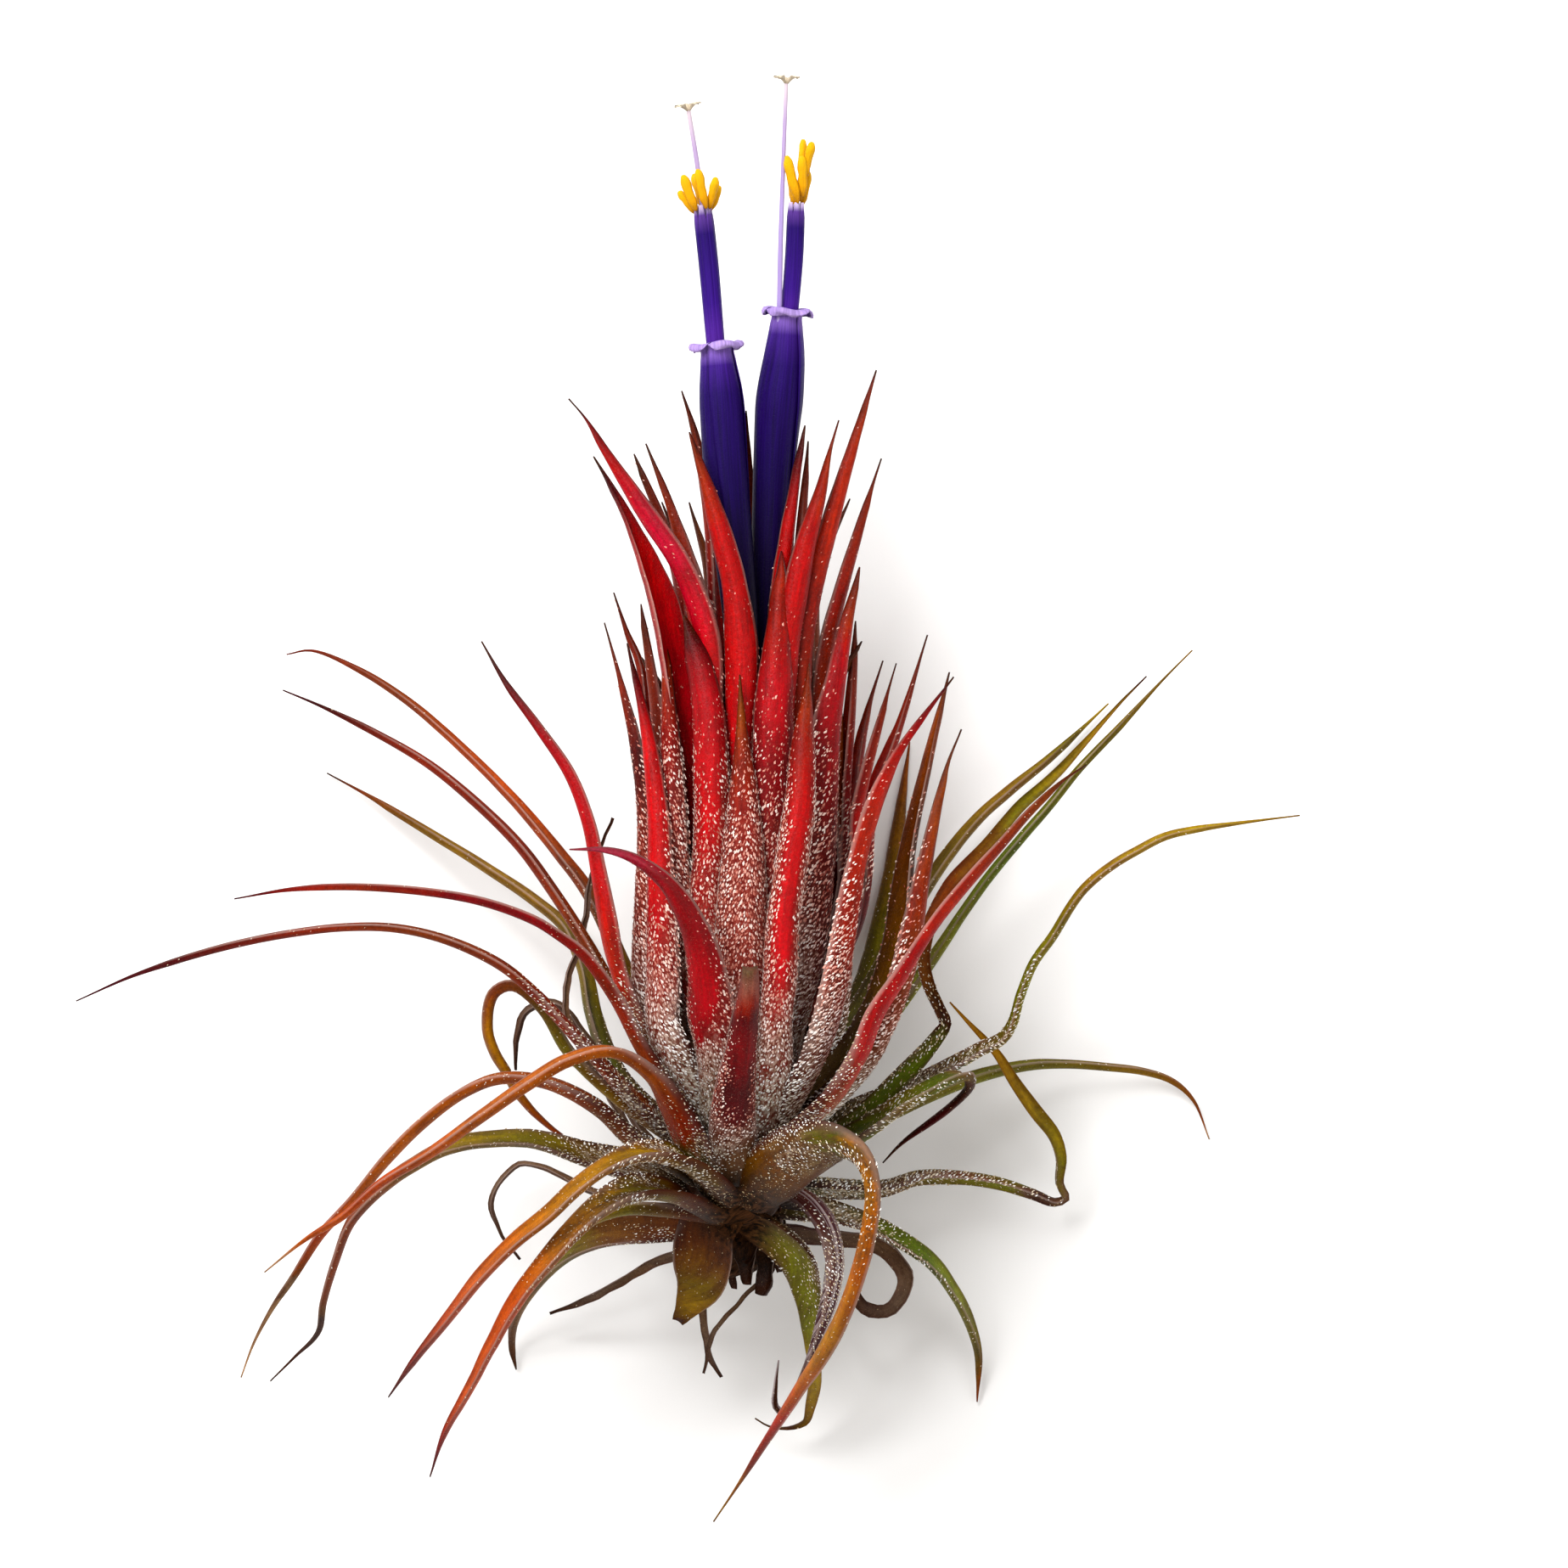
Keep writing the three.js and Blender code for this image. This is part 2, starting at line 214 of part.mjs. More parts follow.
// Leaves deep in the rosette, which grow from its core in one piece with it
const CORE_LEAVES = [
  [[4, -20, 24, 2.2], [0.8, 4.9, 25, 2.4], [-0.4, 17.9, 25.2, 2.1], [-0.7, 22.1, 25.2, 2.55],
    [-2.2, 27.6, 25, 2.14], [-5.4, 35.1, 24.4, 0.6]],
  [[4.2, -20, 25.6, 2], [1.7, 5, 26.7, 2.2], [1.5, 16.8, 27, 4.2], [0.5, 21.5, 27, 4.2],
    [-1.5, 29.2, 26.9, 1.18], [-4.2, 36.1, 26.4, 0.6]],
  [[4, -15, 22.4, 2], [3, 15, 22.4, 2.2], [2.3, 28.1, 22.6, 1.92], [1.5, 33.6, 22.6, 1.57],
    [0.9, 36.8, 22.6, 1.1], [-0.6, 41.5, 22.4, 0.6]],
  [[6, -14, 21.6, 2.2], [6.4, 15, 20.8, 2.4], [6.2, 30, 21.2, 1.7], [5.9, 39.5, 21.6, 0.6]],
  [[8, -15, 22, 2], [10.4, 10, 22.2, 2.2], [11.4, 26, 22.6, 1.5], [12.2, 36.4, 23, 0.6]],
  [[8, -24, 22.5, 2.6], [14.4, -12, 23, 3], [15.9, 3.7, 22.8, 2.2], [16.6, 11.4, 22.4, 1.5],
    [17, 18.2, 22, 0.6]],
  [[0, -20, 21, 2], [-3.6, 0, 20.6, 1.7], [-4.8, 13.7, 20.2, 1], [-6.1, 17, 20, 0.8],
    [-7.5, 21.1, 19.8, 0.6]],
  [[9, -26, 21, 3], [17, -12, 21.8, 3], [18.6, 0, 21.8, 2.2], [20.5, 5.2, 21.4, 1.67], [21.6, 8.2, 21, 0.8],
    [24.3, 16.8, 20, 0.6]],
  [[9, -26, 24, 3], [16.4, -12.8, 25.4, 3], [16.9, -1.7, 25.3, 2.58], [17.5, 1.4, 25.2, 2.65],
    [19.9, 9.9, 24.6, 0.68], [21.1, 13.9, 24, 0.6]],
  [[8.6, -24, 19, 2.6], [15.3, -9.9, 18.4, 2.8], [17.3, 4.7, 18.4, 1.53], [18.3, 9.4, 18, 0.69],
    [19.8, 14.2, 17.4, 0.6]],
];

// Dried leaves and strands round the foot, in one piece with its collar of old leaf bases
const DRIED_LEAVES = [
  [[2, -42, 18, 1.8], [-5, -33, 17, 1.5], [-9.6, -25, 16.6, 1.2], [-13.4, -20.4, 17.4, 1],
    [-16.2, -21.2, 17.6, 1], [-17.5, -24.6, 17, 0.9], [-17.6, -27.4, 16.4, 0.6]],
  [[2, -42, 19, 1.4], [-6, -33, 20, 1], [-12, -22.4, 20.4, 0.8], [-12.2, -19, 20.8, 0.8],
    [-10.8, -13.8, 20.8, 0.8], [-10, -9, 20.6, 0.7], [-8.6, -4.1, 20, 0.7], [-7.7, -1.6, 19.6, 0.6]],
  [[3, -43, 14, 2], [-6, -41, 9, 1.2], [-11.5, -39, 7.4, 0.8], [-14.6, -37.4, 7, 0.75],
    [-17.2, -37, 6.6, 0.7], [-19.4, -39, 5.8, 0.7], [-20, -41.8, 5, 0.65], [-19.2, -43.9, 4.4, 0.65],
    [-17.1, -46.7, 3.6, 0.6]],
  [[3, -44.6, 13, 2], [-2, -46.4, 9.4, 1.4], [-6.4, -48.6, 6.4, 1.05], [-10.4, -50.9, 4.2, 1],
    [-14.1, -52.3, 2.6, 0.9]],
  [[3.4, -45, 14, 1.6], [1.5, -50.8, 10, 1.1], [1.8, -54.4, 8, 0.9], [2.5, -57.1, 6.4, 0.8],
    [3.4, -58.7, 5.6, 0.6]],
  [[7, -44, 17, 1.4], [8.4, -47.6, 17.4, 0.8], [5.7, -50.2, 15.8, 0.7], [2.9, -53.8, 13.4, 0.65],
    [1.5, -58.3, 10.6, 0.6]],
  [[8, -43.6, 12.6, 2.4], [15, -44.4, 11, 2.3], [20, -45.6, 10.4, 2.2], [22.4, -48.6, 10.2, 2],
    [20.8, -51.6, 10, 1.9], [17.8, -51.8, 9.8, 1.7], [16.5, -49.6, 9.8, 1.5]],
];

// Flowers: centre lines as [x, y, z, radius]
const FLOWERS = {
  left: {
    corolla: [[6.3, 7, 26.4, 1.1], [5.3, 19, 27.2, 1.75], [3.9, 33, 27.2, 2.2], [3.4, 40.7, 27.1, 2.2],
      [3, 45.2, 27, 1.6]],
    lip: [2.9, 46.5, 27],
    stamens: [[4.1, 31, 27.2, 0.95], [3.4, 40.7, 27.1, 0.95], [2.8, 46.7, 27, 1.05], [2.2, 53.6, 27, 1.15],
      [1.5, 60.2, 27, 1.15]],
    anthers: [[1.3, 61.4, 27], [1.1, 62, 27], [1.2, 61.7, 27]],
    style: [[4.2, 30, 27.2, 0.3], [3.4, 40.7, 27.1, 0.3], [2.2, 53.6, 27, 0.3], [1.1, 63.5, 27, 0.3],
      [0.1, 69.8, 27.2, 0.3]],
  },
  right: {
    corolla: [[7.1, 7, 23.2, 1.1], [8.1, 19, 23.8, 1.75], [8.7, 33, 24.6, 2.05], [9.3, 40.7, 25, 2.45],
      [9.8, 45, 25.2, 2.05], [10.05, 48.7, 25.3, 1.5]],
    lip: [10.1, 50, 25.4],
    stamens: [[8.9, 35, 24.7, 0.95], [9.8, 45, 25.2, 0.95], [10.4, 50.4, 25.4, 1], [10.8, 55.3, 25.5, 1.05],
      [11, 60.5, 25.6, 1]],
    anthers: [[11.2, 62, 25.6], [11.4, 64.5, 25.6], [11.3, 66, 25.6]],
    style: [[8.8, 34, 25.4, 0.3], [9.2, 43, 26.2, 0.3], [9.3, 50, 26.4, 0.3], [9.4, 56, 26.4, 0.3],
      [9.7, 64.8, 26.2, 0.3], [10, 72.6, 26, 0.3]],
  },
};
const PETAL_STEP = 0.32; // how far each petal's edge stands on the next one
const PETAL_ONSET = 0.25; // share of the tube over which that step grows from nothing
// The lip is a ring between the corolla's neck, at 0, and the lip's own point, at 1
const LIP = { radius: 2.3, hem: 0.1, lobe: 0.16, sunk: -0.3, low: 0.45, high: 1.05, end: 1.15 };
const FILAMENTS = { count: 6, ridge: 0.12 };
const ANTHER = { radius: 0.5, end: 0.34, length: 2.4, inner: 0.75, outer: 1.15, lean: 0.25, sunk: 1.2 };
const STIGMA = { lobes: 3, turn: 0.4, reach: 1.1, rise: 0.55, sunk: 0.3, root: 0.32, tip: 0.42 };

// The core of the rosette, with the foot of the stem, as [y, radius] from the foot up
const CORE = [[-43, 2], [-42.2, 3.4], [-40, 4.8], [-36, 6], [-31, 6.8], [-22, 6.6], [-12, 5.4], [0, 3.6],
  [6, 1.6]];
const COLLAR = [[-48, 1.6], [-47.2, 2.8], [-44, 4.2], [-40, 5], [-36, 4]];
const COLLAR_MIDDLE = new THREE.Vector3(5, 0, 16);

// Leaves on the far side of the rosette, in two rings placed by a rule, angles in degrees round the rosette
const BACK_RINGS = [
  { count: 7, from: 192, to: 348, radius: 11.4, top: 17, spread: 2.25, width: 4, section: NARROW_SECTION },
  { count: 6, from: 200, to: 340, radius: 8.6, top: 29, spread: 3.25, width: 3.4, section: HIDDEN_SECTION },
];
// Such a leaf, as [y, share of the ring's radius, share of its width]; above y = 0, y is a share of its top
const BACK_LOWER = [[-32, 0.5, 0.8], [-22, 0.86, 1], [-8, 0.86, 0.95]];
const BACK_UPPER = [[0.4, 0.78, 0.7], [0.75, 0.8, 0.4]];
const BACK_TIP = { share: 0.8, width: 0.6, scatter: 5 };
const BACK_SEED = 7;

function seededRandom(seed) {
  let state = seed;
  return () => {
    state = (state * 16807) % 2147483647;
    return state / 2147483647;
  };
}

// Solids
function toSolid(vertices, triangles) {
  return new wasm.Manifold(new wasm.Mesh({
    numProp: 3,
    vertProperties: new Float32Array(vertices),
    triVerts: new Uint32Array(triangles),
  }));
}

function geometrySolid(geometry) {
  geometry.deleteAttribute('normal');
  geometry.deleteAttribute('uv');
  const merged = mergeVertices(geometry, WELD);
  return toSolid(merged.attributes.position.array, merged.index.array);
}

function toGeometry(solid) {
  const { vertProperties, triVerts } = solid.getMesh();
  const geometry = new THREE.BufferGeometry();
  geometry.setAttribute('position', new THREE.BufferAttribute(vertProperties, 3));
  geometry.setIndex(new THREE.BufferAttribute(triVerts, 1));
  const flat = geometry.toNonIndexed();
  flat.computeVertexNormals();
  return flat;
}

function largestBody(solid) {
  const bodies = solid.decompose();
  return bodies.reduce((best, body) => (body.volume() > best.volume() ? body : best));
}

function touch(a, b) {
  const p = a.boundingBox();
  const q = b.boundingBox();
  return [0, 1, 2].every((k) => p.min[k] <= q.max[k] && q.min[k] <= p.max[k]);
}

// A closed body with one ring of section points at each station and a flat face at each end
function loft(rings) {
  const sides = rings[0].length;
  const vertices = rings.flat().flatMap((p) => [p.x, p.y, p.z]);
  const triangles = [];
  for (let i = 0; i + 1 < rings.length; i++) {
    for (let j = 0; j < sides; j++) {
      const a = i * sides + j;
      const b = i * sides + ((j + 1) % sides);
      triangles.push(a, b, b + sides, a, b + sides, a + sides);
    }
  }
  const last = (rings.length - 1) * sides;
  for (let j = 1; j + 1 < sides; j++) {
    triangles.push(0, j + 1, j, last, last + j, last + j + 1);
  }
  return toSolid(vertices, triangles);
}

// Stations along a line of [x, y, z, size]: place, direction and size, each control point among them
function stationsAlong(line, step) {
  const points = line.map(([x, y, z]) => new THREE.Vector3(x, y, z));
  const curve = new THREE.CatmullRomCurve3(points, false, 'centripetal');
  const stations = [];
  for (let i = 0; i + 1 < line.length; i++) {
    const parts = Math.ceil(points[i].distanceTo(points[i + 1]) / step);
    for (let k = 0; k < parts; k++) stations.push(i + k / parts);
  }
  stations.push(line.length - 1);
  return stations.map((s) => {
    const i = Math.min(Math.floor(s), line.length - 2);
    const t = s / (line.length - 1);
    return {
      place: curve.getPoint(t),
      along: curve.getTangent(t),
      size: THREE.MathUtils.lerp(line[i][3], line[i + 1][3], s - i),
    };
  });
}

// The middle of the rosette nearest to a point, by its height along the plant
function axisAt(y) {
  const t = (y - AXIS_FOOT.y) / (AXIS_HEAD.y - AXIS_FOOT.y);
  return AXIS_FOOT.clone().lerp(AXIS_HEAD, t);
}

// The way a leaf's channel faces at its root: to the rosette's middle, away from its own bend and down
function rootFace(line) {
  const points = line.map(([x, y, z]) => new THREE.Vector3(x, y, z));
  const root = points[0];
  const belly = points[Math.floor(points.length / 2)];
  const middle = axisAt(belly.y);
  const inward = middle.clone().sub(belly).setY(0).normalize();
  const bulge = points.reduce((sum, p) => sum.add(p), new THREE.Vector3()).divideScalar(points.length)
    .sub(root.clone().add(points.at(-1)).multiplyScalar(0.5));
  bulge.z -= NEAR_TURN * Math.max(0, belly.z - middle.z);
  return inward.multiplyScalar(INWARD_WEIGHT).add(bulge);
}

function leafSection(line) {
  return Math.max(...line.map((p) => p[3])) > WIDE_LEAF ? WIDE_SECTION : NARROW_SECTION;
}

function leafSolid(line, { grow = 0, face = rootFace(line), section = leafSection(line) } = {}) {
  const stations = stationsAlong(line, STATION_STEP);
  let up = Array.isArray(face) ? new THREE.Vector3(...face) : face.clone();
  const rings = stations.map(({ place, along, size }, i) => {
    up = up.addScaledVector(along, -up.dot(along)).normalize();
    const across = new THREE.Vector3().crossVectors(up, along);
    const half = size / 2 + grow;
    const thick = Math.min(LEAF_THICKEST, LEAF_THIN + LEAF_THIN_SHARE * size) + 2 * grow;
    const end = i === 0 ? -grow : i === stations.length - 1 ? grow : 0;
    const middle = place.clone().addScaledVector(along, end);
    return section.map(([s, h]) => {
      const lift = Math.abs(s) === 1 ? EDGE_LIFT * half : 0;
      return middle.clone().addScaledVector(across, s * half).addScaledVector(up, h * thick + lift);
    });
  });
  return loft(rings);
}

// A round body along a line of [x, y, z, radius]; profile gives each direction its own share of the radius
function roundSolid(line, { grow = 0, sides = 10, step = STATION_STEP, profile = () => 0 } = {}) {
  const stations = stationsAlong(line, step);
  let up = new THREE.Vector3(0, 0, 1);
  const rings = stations.map(({ place, along, size }, i) => {
    up = up.addScaledVector(along, -up.dot(along)).normalize();
    const across = new THREE.Vector3().crossVectors(along, up);
    const end = i === 0 ? -grow : i === stations.length - 1 ? grow : 0;
    return Array.from({ length: sides }, (_, j) => {
      const angle = (2 * Math.PI * j) / sides;
      const radius = size + grow + profile(angle, i / (stations.length - 1));
      return place.clone().addScaledVector(along, end)
        .addScaledVector(across, -Math.cos(angle) * radius).addScaledVector(up, Math.sin(angle) * radius);
    });
  });
  return loft(rings);
}

// Three petals wound round each other: each one's free edge stands on the next
function petalStep(angle, t) {
  const turn = (3 * angle) / (2 * Math.PI);
  return -PETAL_STEP * Math.min(1, t / PETAL_ONSET) * (turn - Math.floor(turn + ROUNDING));
}

function corollaSolid({ corolla, lip }) {
  const tube = roundSolid(corolla, { sides: 12, step: LARGE, profile: petalStep });
  const neck = corolla.at(-1);
  const foot = new THREE.Vector3(...neck.slice(0, 3));
  const top = new THREE.Vector3(...lip);
  const at = (t, radius) => [...foot.clone().lerp(top, t).toArray(), radius];
  const throat = neck[3] - LIP.hem;
  const flare = [at(LIP.sunk, throat), at(LIP.low, LIP.radius - LIP.hem), at(LIP.high, LIP.radius),
    at(LIP.end, throat)];
  const rim = roundSolid(flare, { sides: 12, profile: (angle) => LIP.lobe * Math.cos(3 * angle) });
  return tube.add(rim);
}

function stamenSolid({ stamens, anthers }) {
  const { count, ridge } = FILAMENTS;
  const ridges = (angle) => ridge * Math.cos(count * angle);
  let solid = roundSolid(stamens, { sides: 2 * count, step: LARGE, profile: ridges });
  const top = new THREE.Vector3(...stamens.at(-1).slice(0, 3));
  for (let k = 0; k < count; k++) {
    const angle = (2 * Math.PI * k) / count;
    const side = new THREE.Vector3(Math.cos(angle), 0, Math.sin(angle));
    const start = top.clone().addScaledVector(side, ANTHER.inner).sub(new THREE.Vector3(0, ANTHER.sunk, 0));
    const middle = new THREE.Vector3(...anthers[k % anthers.length]).addScaledVector(side, ANTHER.outer);
    const end = middle.clone().addScaledVector(side, ANTHER.lean);
    end.y += ANTHER.length / 2;
    const anther = [[...start.toArray(), ANTHER.end], [...middle.toArray(), ANTHER.radius],
      [...end.toArray(), ANTHER.end]];
    solid = solid.add(roundSolid(anther, { sides: 6, step: LARGE }));
  }
  return solid;
}

function pistilSolid({ style }, grow = 0) {
  let solid = roundSolid(style, { grow, sides: 6, step: LARGE });
  const top = new THREE.Vector3(...style.at(-1).slice(0, 3));
  const start = top.clone().sub(new THREE.Vector3(0, STIGMA.sunk, 0));
  for (let k = 0; k < STIGMA.lobes; k++) {
    const angle = (2 * Math.PI * k) / STIGMA.lobes + STIGMA.turn;
    const out = new THREE.Vector3(Math.cos(angle), 0, Math.sin(angle)).multiplyScalar(STIGMA.reach);
    const end = top.clone().add(out).add(new THREE.Vector3(0, STIGMA.rise, 0));
    const lobe = [[...start.toArray(), STIGMA.root], [...end.toArray(), STIGMA.tip]];
    solid = solid.add(roundSolid(lobe, { grow, sides: 6, step: LARGE }));
  }
  return solid;
}

// A leaf on the far side: up along the rosette, then spreading out at its tip
function backLeafLine({ radius, top, spread, width }, degrees, random) {
  const angle = THREE.MathUtils.degToRad(degrees);
  const at = (y, r, w) => {
    const middle = axisAt(y);
    return [middle.x + Math.cos(angle) * r, y, middle.z + Math.sin(angle) * r, w];
  };
  const tip = top + BACK_TIP.scatter * (random() - 0.5);
  return [
    ...BACK_LOWER.map(([y, r, w]) => at(y, radius * r, width * w)),
    ...BACK_UPPER.map(([share, r, w]) => at(tip * share, radius * r, width * w)),
    at(tip, radius * BACK_TIP.share + spread, BACK_TIP.width),
  ];
}

function coreBody(grow = 0) {
  const profile = CORE.map(([y, r]) => [...axisAt(y).toArray(), r]);
  return roundSolid(profile, { grow, sides: 14, step: LARGE });
}

function coreSolid() {
  let solid = coreBody();
  for (const line of CORE_LEAVES) solid = solid.add(leafSolid(line, { section: HIDDEN_SECTION }));
  const random = seededRandom(BACK_SEED);
  for (const ring of BACK_RINGS) {
    for (let k = 0; k < ring.count; k++) {
      const degrees = THREE.MathUtils.lerp(ring.from, ring.to, k / (ring.count - 1));
      solid = solid.add(leafSolid(backLeafLine(ring, degrees, random), { section: ring.section }));
    }
  }
  return solid;
}

function collarSolid() {
  const profile = COLLAR.map(([y, r]) => [COLLAR_MIDDLE.x, y, COLLAR_MIDDLE.z, r]);
  let solid = roundSolid(profile, { sides: 10, step: LARGE });
  for (const line of DRIED_LEAVES) solid = solid.add(leafSolid(line));
  return solid;
}

const belowSurface = geometrySolid(new THREE.BoxGeometry(LARGE, LARGE, LARGE).translate(0, 0, -LARGE / 2));

// Each piece is cut back from the grown shapes of the pieces placed before it
const plant = new THREE.Group();
const placed = [];
const sockets = [];

function place(name, colour, solid, grown, socket = grown, cutters = placed) {
  let body = solid.subtract(belowSurface);
  for (const other of cutters) {
    if (touch(body, other)) body = body.subtract(other);
  }
  placed.push(grown);
  sockets.push(socket);
  const [color, roughness] = COLOURS[colour];
  const material = new THREE.MeshStandardMaterial({ color, roughness, metalness: 0 });
  const mesh = new THREE.Mesh(toGeometry(largestBody(body)), material);
  mesh.name = name;
  plant.add(mesh);
}

for (const [side, flower] of Object.entries(FLOWERS)) {
  place(`pistil_${side}`, 'cream', pistilSolid(flower), pistilSolid(flower, CLEARANCE));
  const bore = roundSolid(flower.stamens, { grow: CLEARANCE + FILAMENTS.ridge, sides: 8, step: LARGE });
  place(`stamens_${side}`, 'lilac', stamenSolid(flower), bore);
  const sheath = roundSolid(flower.corolla, { grow: CLEARANCE, sides: 10, step: LARGE });
  place(`corolla_${side}`, 'violet', corollaSolid(flower), sheath);
}

for (const [name, [colour, line, face]] of Object.entries({ ...ROSETTE_LEAVES, ...OUTER_LEAVES })) {
  const given = face ? { face } : {};
  const grown = { grow: CLEARANCE, ...given };
  place(name, colour, leafSolid(line, given), leafSolid(line, grown),
    leafSolid(line, { ...grown, section: SOCKET_SECTION }));
}

const core = coreSolid();
place('core', 'dusty_red', core, coreBody(CLEARANCE), core, sockets);
const collar = collarSolid();
place('dry_collar', 'dried', collar, collar);

export default plant;
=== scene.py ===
"""Looks of a flowering air plant that lies on its side: scaly leaves, violet flowers and dried leaf bases.

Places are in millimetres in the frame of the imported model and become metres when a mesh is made.
"""
import math
import bpy
import numpy as np
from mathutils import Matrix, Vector
from types import SimpleNamespace


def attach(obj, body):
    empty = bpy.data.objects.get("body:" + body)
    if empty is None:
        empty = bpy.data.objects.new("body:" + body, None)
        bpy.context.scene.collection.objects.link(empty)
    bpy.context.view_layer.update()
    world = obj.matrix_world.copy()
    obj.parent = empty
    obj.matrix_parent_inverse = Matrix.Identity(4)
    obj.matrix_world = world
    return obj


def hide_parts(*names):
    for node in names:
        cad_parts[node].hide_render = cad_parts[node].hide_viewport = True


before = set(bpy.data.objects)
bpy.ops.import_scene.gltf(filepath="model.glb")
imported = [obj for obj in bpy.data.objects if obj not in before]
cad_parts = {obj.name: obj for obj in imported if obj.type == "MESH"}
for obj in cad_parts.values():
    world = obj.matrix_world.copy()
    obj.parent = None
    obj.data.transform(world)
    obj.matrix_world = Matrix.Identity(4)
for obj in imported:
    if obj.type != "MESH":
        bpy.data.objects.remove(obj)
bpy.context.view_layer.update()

MM = 0.001

# Colours of skins, as they look in daylight
PALETTE = {
    "taupe": "5e4a34", "clay": "70563c", "silver": "80745a", "drab": "685748", "khaki": "6f6038",
    "rose": "84302a", "dusk": "8a2e26", "rosewood": "8c2a26", "wine": "560a10", "blood": "820a12",
    "crimson": "a80a16", "scarlet": "bb1016", "red": "ac1416", "cerise": "b81634", "vermilion": "b02812",
    "brick": "882a12", "rust": "884014", "brown": "5c3014", "bronze": "684410", "umber": "3c2012",
    "maroon": "481014", "plum": "44101e", "orange": "b46a34", "amber": "a87a38", "ochre": "8c7024",
    "coral": "bc5830", "blush": "c88468", "faded": "b8a488", "straw": "a8963c", "olive": "6c6818",
    "moss": "56602a", "green": "5a721c", "lime": "7c8628", "dusty": "8c5a4e", "mauve": "8a3444",
    "dry": "6c543e", "black": "20140e",
}

